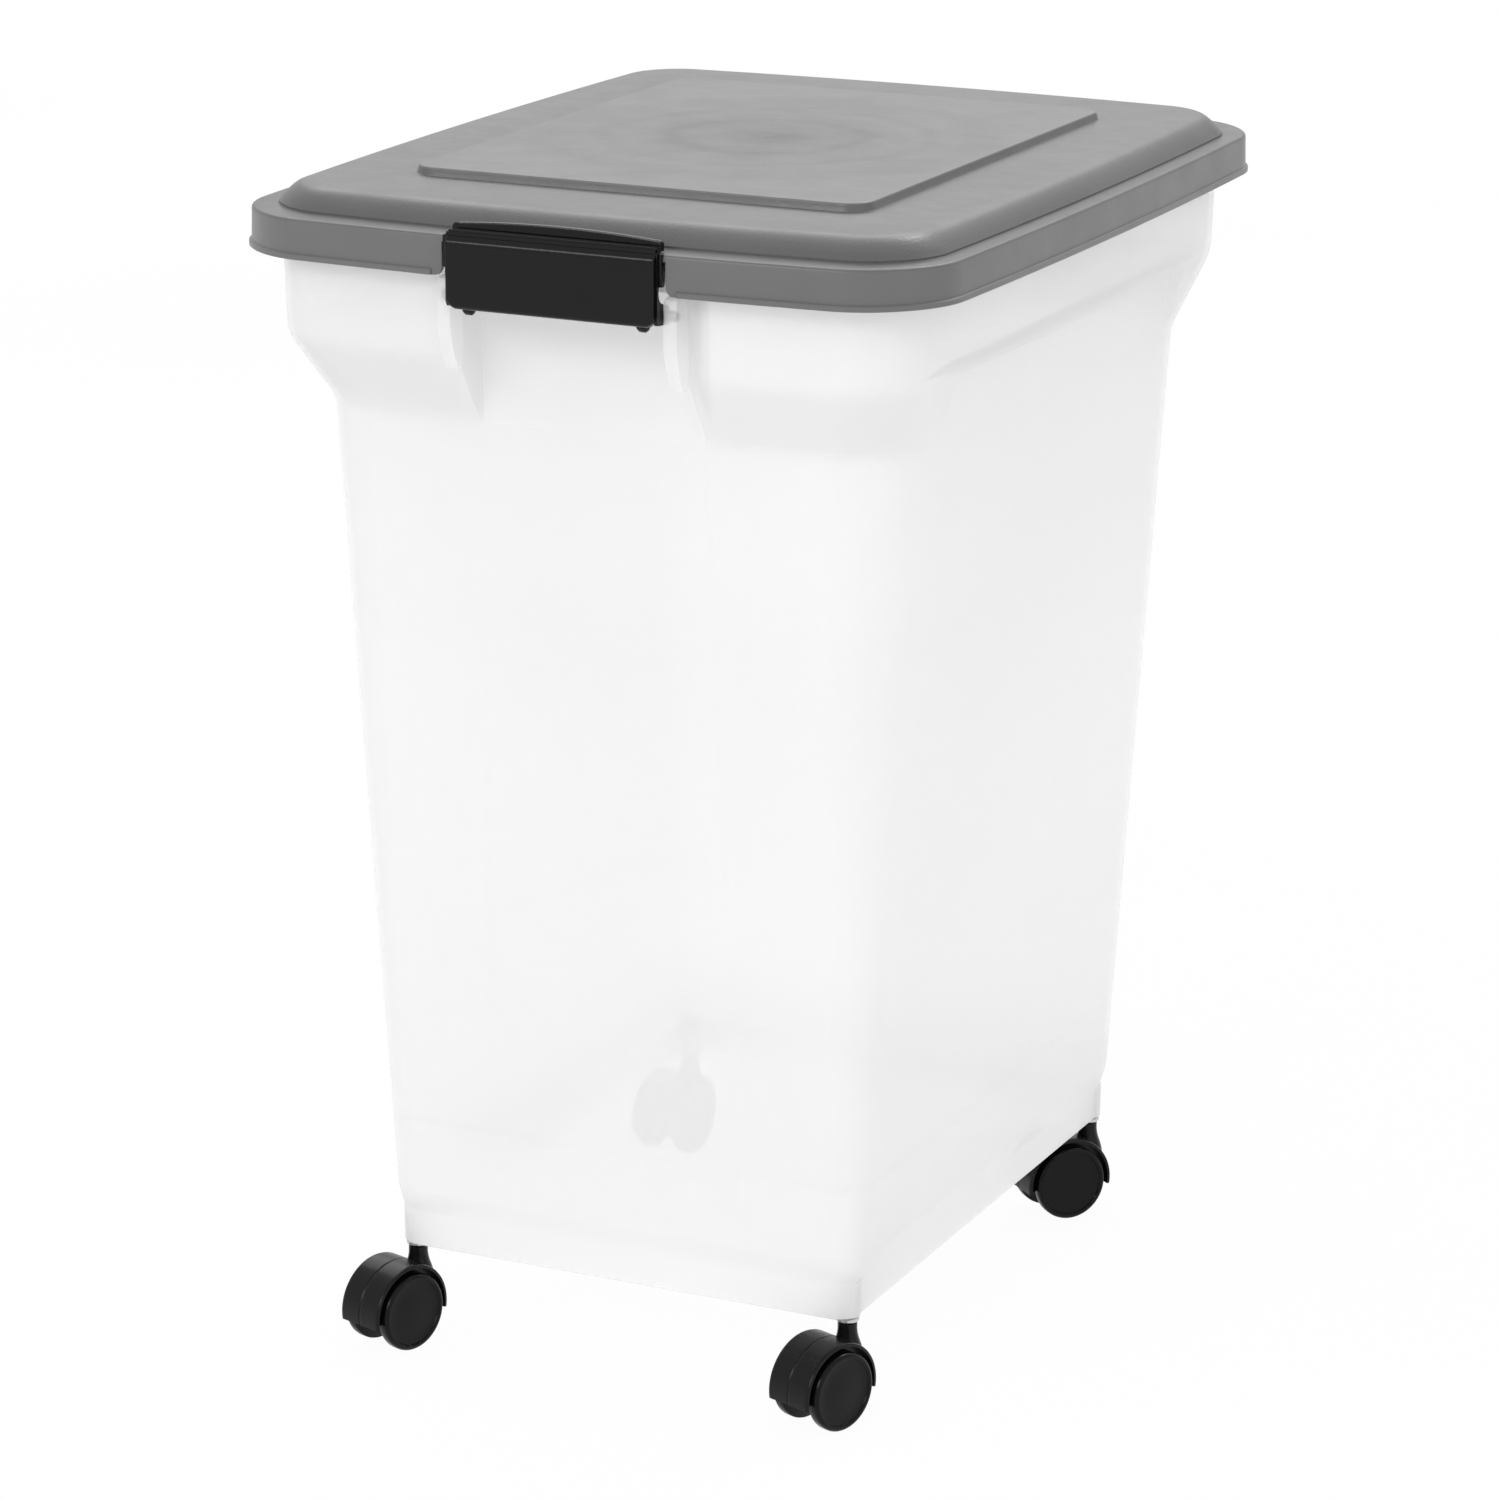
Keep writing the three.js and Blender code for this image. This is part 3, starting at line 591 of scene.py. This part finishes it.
def ear(bm, x_side, y_side):
    """One ear beside the pocket: a rounded plate with a blind round hole for the latch's pin."""
    low, high, front = COLLAR_BOTTOM[0], EAR_TOP_Z, EAR_FRONT_Y
    profile = [(EAR_ROOT_Y, low - 4), (front + 6.5, low - 4), (front + 2.4, low + 8), (front, low + 16)]
    profile += [(front, high - 3.5), (front + 1.1, high - 1.1), (front + 3.6, high), (EAR_ROOT_Y, high)]
    ways = ways_round(64)
    edge = [ray_out(profile, (PIVOT_Y, PIVOT_Z), way) for way in ways]
    near = [(y - EAR_EDGE * a, z - EAR_EDGE * b) for (y, z), (a, b) in zip(edge, ways)]
    hole = [(PIVOT_Y + EAR_HOLE_R * a, PIVOT_Z + EAR_HOLE_R * b) for a, b in ways]
    inner, outer = EAR_INNER_X, EAR_INNER_X + EAR_WIDTH
    loops = [(near, outer), (edge, outer - EAR_EDGE), (edge, inner + EAR_EDGE), (near, inner)]
    loops += [(hole, inner), (hole, outer - EAR_END_WALL)]
    skin(bm, [[(x_side * at, -y_side * y, z) for y, z in loop] for loop, at in loops])


def ray_out(polygon, start, way):
    """Where a ray from inside the polygon leaves it."""
    best = None
    reach = 200
    far = (start[0] + way[0] * reach, start[1] + way[1] * reach)
    for a, b in zip(polygon, polygon[1:] + polygon[:1]):
        hit = geometry.intersect_line_line_2d(start, far, a, b)
        if hit is not None:
            best = (hit[0], hit[1])
    return best


def stem_boss(bm, x, y):
    """Short tube inside the foot that takes a caster's stem."""
    draft = 0.3
    loops = [(BOSS_R, BOSS_BOTTOM_Z), (BOSS_R + draft, BOSS_TOP_Z), (BOSS_BORE_R, BOSS_TOP_Z)]
    loops += [(BOSS_BORE_R, BOSS_BOTTOM_Z), (BOSS_R, BOSS_BOTTOM_Z)]
    skin(bm, [[(x + r * a, y + r * b, z) for a, b in ways_round(32)] for r, z in loops], capped=False)


def make_tub():
    bm = bmesh.new()
    tub_shell(bm)
    for x_side in (-1, 1):
        for y_side in (-1, 1):
            ear(bm, x_side, y_side)
    for spec in CASTERS.values():
        stem_boss(bm, spec["x"], spec["y"])
    build("tub_shell", bm, MILKY, "tub", ["tub"], 32)


# ---------- lid ----------
def notch_low(x, z, lift):
    """The skirt stops higher behind each latch; lift is the height of its lower edge above the bottom."""
    if abs(x) < NOTCH_HALF + 0.05:
        low = NOTCH_TOP_Z
    elif abs(x) < NOTCH_HALF + NOTCH_R:
        low = LID_BOTTOM_Z + NOTCH_R - math.sqrt(NOTCH_R ** 2 - (NOTCH_HALF + NOTCH_R - abs(x)) ** 2)
    else:
        low = LID_BOTTOM_Z
    return max(z, low + lift)


def thicken(x, y, spec, extra):
    """Moves a point of an outline straight out by extra."""
    w, d, r, _ = spec
    if abs(y) > d / 2 - r and abs(x) > w / 2 - r:
        cx, cy = math.copysign(w / 2 - r, x), math.copysign(d / 2 - r, y)
        length = max(math.hypot(x - cx, y - cy), 0.1)
        return x + (x - cx) / length * extra, y + (y - cy) / length * extra
    if abs(y) > d / 2 - r:
        return x, y + math.copysign(extra, y)
    return x + math.copysign(extra, x), y


def lid_ring(spec, z, skirt=False, bead=0.0, lift=0.0):
    """One ring of the lid; skirt rings rise over the notches, and bead is the edge's extra thickness."""
    w, d, r, bow = spec
    ring = []
    for x, y, _ in outline(w, d, r, bow):
        behind_latch = abs(y) > d / 2 - r + 1e-3 and abs(x) < NOTCH_ZONE_HALF
        share = smoothstep((abs(x) - BEAD_NOTCH_HALF + 0.4) / 1.2) if behind_latch else 1
        x, y = thicken(x, y, spec, share * bead)
        level = notch_low(x, z, lift) if skirt and behind_latch else z
        ring.append((x, y, level))
    return ring


def lid_outside():
    """From the skirt's lower edge up and over to the edge of the platform's top."""
    low, ledge, dome = LID_BOTTOM_Z, LID_LEDGE_Z, LID_DOME_Z
    rings = [lid_ring(shrink(SKIRT, 0.3), low, True, 1.2), lid_ring(SKIRT, low + 0.35, True, EDGE_BEAD, 0.3)]
    rings += [lid_ring(SKIRT, low + 2.3, True, EDGE_BEAD, 0.5), lid_ring(SKIRT, low + 2.8, True, 0.9, 0.6)]
    rings += [lid_ring(SKIRT, low + 3.1, True, 0, 0.7), lid_ring(SKIRT, low + 6, True, 0, 0.8)]
    rings += [lid_ring(shrink(SKIRT, 0.2), low + 12, True, 0, 0.9)]
    for inset, z in arc(0.3 + LEDGE_EDGE_R, ledge - LEDGE_EDGE_R, LEDGE_EDGE_R, 180, 90, 5):
        rings.append(lid_ring(shrink(SKIRT, inset), z, z < NOTCH_TOP_Z + 1, 0, 1.0))
    rings += [lid_ring(shrink(DOME, -0.5), ledge - 0.15), lid_ring(shrink(DOME, -0.1), ledge + 0.1)]
    rings += [lid_ring(DOME, ledge + 1.1)]
    rings += [lid_ring(shrink(DOME, inset), z) for inset, z in dome_curve()]
    rings += [lid_ring(shrink(PLATFORM, -1.0), dome), lid_ring(shrink(PLATFORM, -0.2), dome + 0.2)]
    rings += [lid_ring(shrink(PLATFORM, 0.1), dome + 0.9)]
    edge = PLATFORM_EDGE_R
    for inset, z in arc(0.7 + edge, LID_PLATFORM_Z - edge, edge, 180, 90, 5):
        rings.append(lid_ring(shrink(PLATFORM, inset), z))
    return rings


def dome_curve():
    """The broad slanted step from the ledge up to the dome's flat, as (inset, height)."""
    rise = LID_DOME_Z - LID_LEDGE_Z
    steps = [(1.2, 0.22), (2.4, 0.35), (3.8, 0.48), (5.2, 0.605), (6.6, 0.72), (8, 0.82), (9.2, 0.89)]
    steps += [(10.4, 0.94), (11.8, 0.975), (13.4, 0.993), (15.5, 1), (20, 1)]
    return [(inset, LID_LEDGE_Z + rise * share) for inset, share in steps]


def platform_middle():
    """Flat top of the platform, closing in to the round gate mark at the middle."""
    rings = [lid_ring(shrink(PLATFORM, 12), LID_PLATFORM_Z)]
    angles = [math.atan2(y, x) for x, y, _ in rings[0]]
    dimple = ((14, 0), (6.5, 0), (5.6, 0.08), (4.4, 0.3), (3.2, 0.5), (2, 0.6), (0.9, 0.62))
    for r, drop in dimple:
        rings.append([(r * math.cos(a), r * math.sin(a), LID_PLATFORM_Z - drop) for a in angles])
    return rings


def lid_inside():
    """From the middle of the underside out, round the plug's wall and down the skirt."""
    t, ledge, plug = LID_WALL, LID_LEDGE_Z, PLUG_BOTTOM_Z
    high, middle = LID_PLATFORM_Z - t, LID_DOME_Z - t
    rings = [lid_ring(shrink(PLATFORM, t + 6), high), lid_ring(shrink(PLATFORM, t), high)]
    rings += [lid_ring(shrink(PLATFORM, t), middle), lid_ring(shrink(DOME, t + 18), middle)]
    rings += [lid_ring(shrink(PLUG, 2), ledge + 7.4), lid_ring(shrink(PLUG, 2), plug + 0.6)]
    rings += [lid_ring(shrink(PLUG, 1.4), plug), lid_ring(shrink(PLUG, 0.6), plug)]
    rings += [lid_ring(PLUG, plug + 0.6), lid_ring(PLUG, ledge + 6)]
    rings += [lid_ring(shrink(DOME, t + 3), ledge + 3), lid_ring(shrink(DOME, t + 0.6), ledge - t)]
    rings += [lid_ring(SKIRT_INNER, ledge - t), lid_ring(SKIRT_INNER, ledge - t - 1, True, 0, 0.6)]
    rings += [lid_ring(SKIRT_INNER, LID_BOTTOM_Z + 0.4, True, 0, 0.3)]
    rings += [lid_ring(shrink(SKIRT, 1.8), LID_BOTTOM_Z, True)]
    return rings


def make_lid():
    bm = bmesh.new()
    skin(bm, lid_inside() + lid_outside() + platform_middle())
    build("lid_shell", bm, GREY, "lid", ["lid"], 30)


# ---------- latch ----------
def bar(bm, section, stations):
    """Sweeps a (y, z) section along X; each station is (x, function that changes a point)."""
    prism(bm, [[(x, *change(y, z)) for y, z in section] for x, change in stations])


def block(bm, section, side, x0, x1):
    """A (y, z) section with straight sides, from x0 to x1 out from the middle on one side."""
    near, far = sorted((side * x0, side * x1))
    prism(bm, [[(x, y, z) for y, z in section] for x in (near, far)])


def latch_plate(bm):
    """Front plate: a rolled lower edge whose foot turns in, a crease, a steep chamfer and the ridge."""
    f, b, low, top = LATCH_FRONT_Y, LATCH_BACK_Y, LATCH_BOTTOM_Z, LATCH_RIDGE_Z
    foot = LATCH_FOOT_Y
    outer = [(foot, low)] + arc(f + LATCH_ROLL_R, low + LATCH_ROLL_R, LATCH_ROLL_R, 270, 180, 5)
    outer += [(f, low + 12), (f, low + 22), (f, top - 7), (f + 0.08, top - 6.2), (f + 0.25, top - 5.5)]
    outer += [(f + 0.5, top - 4.9), (f + 0.85, top - 4.35), (f + 1.3, top - 3.8), (f + 3, top - 1.7)]
    outer += [(f + 3.3, top - 1), (f + 3.6, top - 0.3), (f + 4.1, top), (f + 4.6, top - 0.2)]
    outer += [(f + 4.8, top - 0.9)]
    inner = [(b + 1.8, top - 1.8), (b + 0.6, top - 3.2), (b, top - 5.2), (b, low + 5.2)]
    inner += [(b + 0.7, low + 3.6), (b + 2.2, low + 3), (foot, low + 3)]
    half, corner = LATCH_HALF, LATCH_CORNER_R
    rounded = [half - corner * (1 - math.cos(math.radians(a))) for a in range(90, -1, -10)]
    xs = both_ways([0, 15, 30, 44] + sorted(rounded + [half - 0.6, half - 0.25]))

    def at(x):
        into = max(abs(x) - half + corner, 0)
        rise = min(corner - math.sqrt(max(corner ** 2 - into ** 2, 0)), 3.4)
        bevel = 0.6 * smoothstep((abs(x) - half + 0.65) / 0.65)

        def change(y, z):
            share = 1 if z < low + 4 else smoothstep((low + 20 - z) / 20)
            if y < f + 2.4:
                y += bevel
            if z > top - 0.5:
                z -= bevel
            return (y, z + rise * share)

        return change

    bar(bm, outer + inner, [(x, at(x)) for x in xs])


def latch_arm(bm, lip):
    """Arm that reaches in over the lid's edge, a step below the ridge, with the finger lip on it."""
    root, tip, top = LATCH_BACK_Y - 0.8, LIP_BACK_Y, LATCH_RIDGE_Z - 0.8
    under = LID_LEDGE_Z + 0.6
    stand = tip - 3.4
    # The lip's points are drawn about this far-off height and come down to the lip's own in change().
    peak = 1000
    section = [(root, under + 0.2), (tip, under), (tip, peak - 0.8), (tip - 0.4, peak - 0.2)]
    section += [(tip - 1.1, peak), (stand + 1.1, peak), (stand + 0.35, peak - 0.25), (stand, peak - 0.9)]
    section += [(stand, top + 0.6), (stand - 0.4, top + 0.1), (stand - 1.2, top), (root, top)]
    half = LATCH_HALF
    xs = both_ways(sorted([half * k / 14 for k in range(14)] + [half - 1, half - 0.3, half]))

    def at(x):
        rise = lip[0] + (lip[1] - lip[0]) * (1 - (x / half) ** 2)
        bevel = 0.9 * smoothstep((abs(x) - half + 1) / 1) ** 2

        def change(y, z):
            if z > peak / 2 + top / 2:
                z += rise - peak - bevel
            return (y, z)

        return change

    bar(bm, section, [(x, at(x)) for x in xs])


def latch_ends(bm):
    """Flange that stiffens each end: shallow beside the plate, deep at the hinge."""
    b, low = LATCH_BACK_Y, LATCH_BOTTOM_Z
    flange = [(b - 0.4, 604.6), (b + 1.0, 604.6), (b + 1.0, 599.6), (b + 3.4, 599.2), (b + 3.6, 598.6)]
    flange += [(b + 3.6, 590), (b + 3.0, 588.6), (b + 1.4, 587.2), (b + 1.1, 585), (b + 1.5, 582.4)]
    flange += [(b + 3, 580.4), (b + 6, 579), (b + 11, 578), (b + 12.4, 576.5), (b + 12.6, 574)]
    flange += [(b + 12.6, low + 1.6), (b + 11.8, low + 0.5), (b + 10.5, low + 0.1), (b + 1, low + 1)]
    flange += [(b - 0.4, low + 3.5)]
    web = [(b + 0.8, 603.8), (b + 4.6, 603.2), (b + 4.6, 590), (b + 3.4, 588), (b + 1.4, 588)]
    web += [(b + 0.8, 589)]
    for side in (-1, 1):
        block(bm, flange, side, LATCH_HALF - 1.2, LATCH_HALF + 1)
        block(bm, web, side, LATCH_HALF + 0.5, LATCH_HALF + 2.7)


def round_bar(bm, r, side, x0, x1):
    """A bar about the latch's pivot with bevelled ends, from x0 to x1 out from the middle on one side."""
    bevel = 0.5
    near, far = sorted((side * x0, side * x1))
    profile = [(0, near), (r - bevel, near), (r, near + bevel), (r, far - bevel), (r - bevel, far), (0, far)]
    turned(bm, profile, Matrix.Translation((0, PIVOT_Y, PIVOT_Z)), 28)


def latch_nib(bm, side):
    """Small rounded nib that hangs under the plate's lower edge below each hook."""
    middle_y, middle_z = LATCH_BACK_Y + 5, LATCH_BOTTOM_Z + 0.4
    angles = [math.radians(d) for d in range(180, 361, 20)]
    section = [(middle_y + 2.6 * math.cos(a), middle_z + 4 * math.sin(a)) for a in angles]
    near, far = sorted((side * HOOK_INNER_X, side * HOOK_OUTER_X))
    stations = ((near, 1), (near + 1, 0), (far - 1, 0), (far, 1))
    prism(bm, [[(x, y, z + rise) for y, z in section] for x, rise in stations])


def latch_hooks(bm):
    """Hinge hooks, end knuckles and the two pins that sit in the ears."""
    knuckle_x = LATCH_HALF - KNUCKLE_LENGTH
    low, high = LATCH_BOTTOM_Z + 1, PIVOT_Z + 5.2
    root = LATCH_BACK_Y - 1
    gusset = [(root, low), (PIVOT_Y, low), (PIVOT_Y, high), (root, high + 3)]
    for side in (-1, 1):
        round_bar(bm, HOOK_R, side, HOOK_INNER_X, HOOK_OUTER_X)
        round_bar(bm, KNUCKLE_R, side, knuckle_x, LATCH_HALF)
        round_bar(bm, PIN_R, side, knuckle_x, PIN_END_X)
        block(bm, gusset, side, HOOK_INNER_X, HOOK_OUTER_X)
        latch_nib(bm, side)


def make_latch(name, rear):
    bm = bmesh.new()
    latch_plate(bm)
    latch_arm(bm, REAR_LIP if rear else FRONT_LIP)
    latch_ends(bm)
    latch_hooks(bm)
    if rear:
        bmesh.ops.rotate(bm, verts=bm.verts, cent=(0, 0, 0), matrix=Matrix.Rotation(math.pi, 3, "Z"))
    build(f"{name}_moulding", bm, BLACK, name, [name, f"{name}_lip"], 38)


# ---------- casters ----------
def read_casters():
    """Where each caster stands and how far its axle has turned, from the joints."""
    joints = {j["name"]: j for j in frame["joints"]}
    found = {}
    for name in sorted(joints):
        if name.endswith("_swivel"):
            label = name[: -len("_swivel")]
            axis = joints[f"{label}_wheel_right_spin"]["axis"]
            x, y, _ = joints[name]["pos_m"]
            found[label] = {"x": x / MM, "y": y / MM, "turn": math.atan2(axis[1], axis[0])}
    return found


def place_of(spec, offset=(0, 0, 0)):
    turn = Matrix.Rotation(spec["turn"], 4, "Z")
    return Matrix.Translation((spec["x"], spec["y"], 0)) @ turn @ Matrix.Translation(offset)


def hood_profile():
    """Closed (x, radius) section of the drum with its two webs."""
    half, rim, inside, web, groove = HOOD_HALF, HOOD_R, HOOD_INSIDE, WEB_OUTER, 0.35
    outer = [(-half, inside), (-half, rim - 0.8), (-half + 0.25, rim - 0.25), (-half + 0.9, rim)]
    outer += [(-half + 1.7, rim), (-1.1, rim), (-0.5, rim), (0, rim - groove), (0.5, rim), (1.1, rim)]
    outer += [(half - 1.7, rim), (half - 0.9, rim), (half - 0.25, rim - 0.25), (half, rim - 0.8)]
    inner = [(half, inside), (web, inside), (web, AXLE_HOLE_R), (WEB_INNER, AXLE_HOLE_R)]
    inner += [(WEB_INNER, inside), (-WEB_INNER, inside), (-WEB_INNER, AXLE_HOLE_R), (-web, AXLE_HOLE_R)]
    inner += [(-web, inside)]
    return outer + inner


def hood_shell(bm):
    """The drum, cut level below the axle and closed along the cut."""
    drum = bmesh.new()
    profile = hood_profile()
    steps = 96
    rows = []
    for k in range(steps):
        a = math.tau * (k + 0.5) / steps
        y_way, z_way = math.cos(a), math.sin(a)
        rows.append([drum.verts.new((x, -TRAIL + r * y_way, WHEEL_R + r * z_way)) for x, r in profile])
    for k in range(steps):
        join_rows(drum, rows[k], rows[(k + 1) % steps])
    geom = list(drum.verts) + list(drum.edges) + list(drum.faces)
    level, down = (0, 0, HOOD_BOTTOM_Z), (0, 0, -1)
    cut = bmesh.ops.bisect_plane(drum, geom=geom, plane_co=level, plane_no=down, clear_outer=True)
    edges = [e for e in cut["geom_cut"] if isinstance(e, bmesh.types.BMEdge)]
    bmesh.ops.triangle_fill(drum, use_beauty=True, edges=edges)
    mesh = bpy.data.meshes.new("hood_drum")
    drum.to_mesh(mesh)
    drum.free()
    bm.from_mesh(mesh)
    bpy.data.meshes.remove(mesh)


def hood_neck(bm):
    """The neck, flared where it meets the drum, with the stem's socket in its top."""
    r, top, bottom = NECK_R, NECK_TOP_Z, HOOD_BOTTOM_Z + 0.1
    profile = [(0, bottom), (r, bottom), (r + 3.4, 27), (r + 3.2, 33), (r + 2.6, 36), (r + 1.8, 38.5)]
    profile += [(r + 0.9, 41), (r + 0.3, 43.5), (r, 46), (r, top - 0.7), (r - 0.7, top)]
    profile += [(SOCKET_R, top), (SOCKET_R, top - SOCKET_DEPTH), (0, top - SOCKET_DEPTH)]
    upright(bm, profile, 40)


def make_hood(label, spec):
    bm = bmesh.new()
    hood_shell(bm)
    hood_neck(bm)
    hub = [(0, -HUB_HALF), (HUB_R, -HUB_HALF), (HUB_R, HUB_HALF), (0, HUB_HALF)]
    turned(bm, hub, Matrix.Translation((0, -TRAIL, WHEEL_R)), 32)
    bmesh.ops.transform(bm, matrix=place_of(spec), verts=bm.verts)
    build(f"{label}_hood_shell", bm, HOOD, label, [f"{label}_hood"], 35)


def make_wheel(label, spec, side):
    """Disc wheel with a rolled tread, a raised rim and a shallow dished face with a hub boss."""
    bm = bmesh.new()
    r, inner, outer, hole = WHEEL_R, WHEEL_INNER, WHEEL_OUTER, 2.8
    profile = [(0, inner + 3), (hole, inner + 3), (hole, inner), (r - 0.8, inner), (r - 0.2, inner + 0.3)]
    profile += [(r, inner + 0.9), (r, outer - 2.0), (r - 0.15, outer - 1.3), (r - 0.6, outer - 0.6)]
    profile += [(r - 1.2, outer - 0.15), (r - 1.9, outer), (r - 2.6, outer - 0.1), (r - 3.0, outer - 0.5)]
    profile += [(r - 3.3, outer - 1.1), (r - 4.6, outer - 1.3), (r - 9, outer - 1.15), (6.2, outer - 0.95)]
    profile += [(3, outer - 0.85), (0, outer - 0.8)]
    turned(bm, profile, Matrix.Identity(4), 64)
    if side < 0:
        bmesh.ops.transform(bm, matrix=Matrix.Rotation(math.pi, 4, "Z"), verts=bm.verts)
    bmesh.ops.transform(bm, matrix=place_of(spec, (0, -TRAIL, WHEEL_R)), verts=bm.verts)
    node = f"{label}_wheel_{'left' if side < 0 else 'right'}"
    build(f"{node}_disc", bm, WHEEL, node, [node], 30)


def make_stem(label, spec):
    """Steel pin from the hood's socket up into the foot, with the collar that the foot rests on."""
    bm = bmesh.new()
    r, collar, bevel, top = STEM_R, STEM_COLLAR_R, 0.5, STEM_TOP_Z
    low, under, over = NECK_TOP_Z - STEM_IN_NECK, NECK_TOP_Z + PART_GAP, FOOT_BOTTOM[0] - PART_GAP
    profile = [(0, low), (r - 0.3, low), (r, low + 0.4), (r, under), (collar - bevel, under)]
    profile += [(collar, under + bevel), (collar, over - bevel), (collar - bevel, over), (r, over)]
    profile += [(r, top - 1.3), (r - 0.4, top - 0.3), (r - 1.2, top), (0, top)]
    upright(bm, profile, 32)
    bmesh.ops.transform(bm, matrix=place_of(spec), verts=bm.verts)
    build(f"{label}_stem_pin", bm, STEEL, label, [f"{label}_stem"], 35)


# ---------- studio ----------
def make_floor():
    """Plain pale sweep, lit through from below as a light table is."""
    half, level = 14000, -0.2
    bm = bmesh.new()
    corners = [(-half, -half), (half, -half), (half, half), (-half, half)]
    bm.faces.new([bm.verts.new((x, y, level)) for x, y in corners])
    mesh = bpy.data.meshes.new("studio_floor")
    bm.to_mesh(mesh)
    bm.free()
    mesh.transform(Matrix.Scale(MM, 4))
    mat, tree, out = material("pale_floor")
    glow = tree.nodes.new("ShaderNodeEmission")
    glow.inputs["Strength"].default_value = 0.97
    tree.links.new(ramp(tree, noise(tree, 0.7), (0.985,) * 3, (1, 1, 1)), glow.inputs["Color"])
    matte = tree.nodes.new("ShaderNodeBsdfDiffuse")
    tree.links.new(ramp(tree, noise(tree, 0.7), (0.024,) * 3, (0.026,) * 3), matte.inputs["Color"])
    both = tree.nodes.new("ShaderNodeAddShader")
    tree.links.new(glow.outputs["Emission"], both.inputs[0])
    tree.links.new(matte.outputs["BSDF"], both.inputs[1])
    tree.links.new(both.outputs["Shader"], out.inputs["Surface"])
    mesh.materials.append(mat)
    obj = bpy.data.objects.new("studio_floor", mesh)
    bpy.context.scene.collection.objects.link(obj)


def make_sun(name, strength, width, tilt_x, tilt_y):
    """A far-off soft box: its width as seen from the bin and its tilts from straight above, in degrees."""
    light = bpy.data.lights.new(name, "SUN")
    light.energy = strength
    light.angle = math.radians(width)
    obj = bpy.data.objects.new(name, light)
    obj.rotation_euler = (math.radians(tilt_x), math.radians(tilt_y), 0)
    bpy.context.scene.collection.objects.link(obj)


def make_world():
    world = bpy.data.worlds.new("studio_air")
    world.use_nodes = True
    back = world.node_tree.nodes["Background"]
    back.inputs["Color"].default_value = (1, 1, 1, 1)
    back.inputs["Strength"].default_value = 0.87
    bpy.context.scene.world = world


def make_camera():
    """In front and to the right, a little above the lid, with a long lens."""
    place = Vector((1.1609, -2.4853, 1.0857))
    aim = Vector((-0.0091, 0, 0.2908))
    roll = math.radians(0.16)
    camera = bpy.data.cameras.new("camera")
    camera.sensor_fit = "HORIZONTAL"
    camera.sensor_width = 36
    camera.lens = 129.9
    camera.dof.use_dof = False
    camera.clip_end = 60
    obj = bpy.data.objects.new("camera", camera)
    look = (aim - place).to_track_quat("-Z", "Y").to_matrix().to_4x4()
    obj.matrix_world = Matrix.Translation(place) @ look @ Matrix.Rotation(roll, 4, "Z")
    bpy.context.scene.collection.objects.link(obj)
    bpy.context.scene.camera = obj


def finish_cad_node(name, mat):
    mesh = frame["nodes"][name].data
    mesh.materials.clear()
    mesh.materials.append(mat)


# ---------- assembly ----------
CASTERS = read_casters()
make_tub()
make_lid()
make_latch("front_latch", False)
make_latch("rear_latch", True)
for caster_label, caster_spec in CASTERS.items():
    make_hood(caster_label, caster_spec)
    make_stem(caster_label, caster_spec)
    make_wheel(caster_label, caster_spec, -1)
    make_wheel(caster_label, caster_spec, 1)
    finish_cad_node(f"{caster_label}_axle", STEEL)
finish_cad_node("lid_gasket", FOAM)

make_floor()
make_world()
make_sun("overhead_softbox", 1.4, 60, -34, -14)
make_sun("right_softbox", 0.3, 60, 20, 62)
make_sun("front_softbox", 0.5, 20, 62, -10)
make_sun("left_softbox", 0.45, 18, 53, -38)
make_sun("back_light", 0.4, 14, -40, 8)
make_camera()

scene = bpy.context.scene
scene.view_settings.view_transform = "Standard"
scene.view_settings.look = "None"
scene.cycles.transparent_max_bounces = 16
scene.cycles.max_bounces = 10
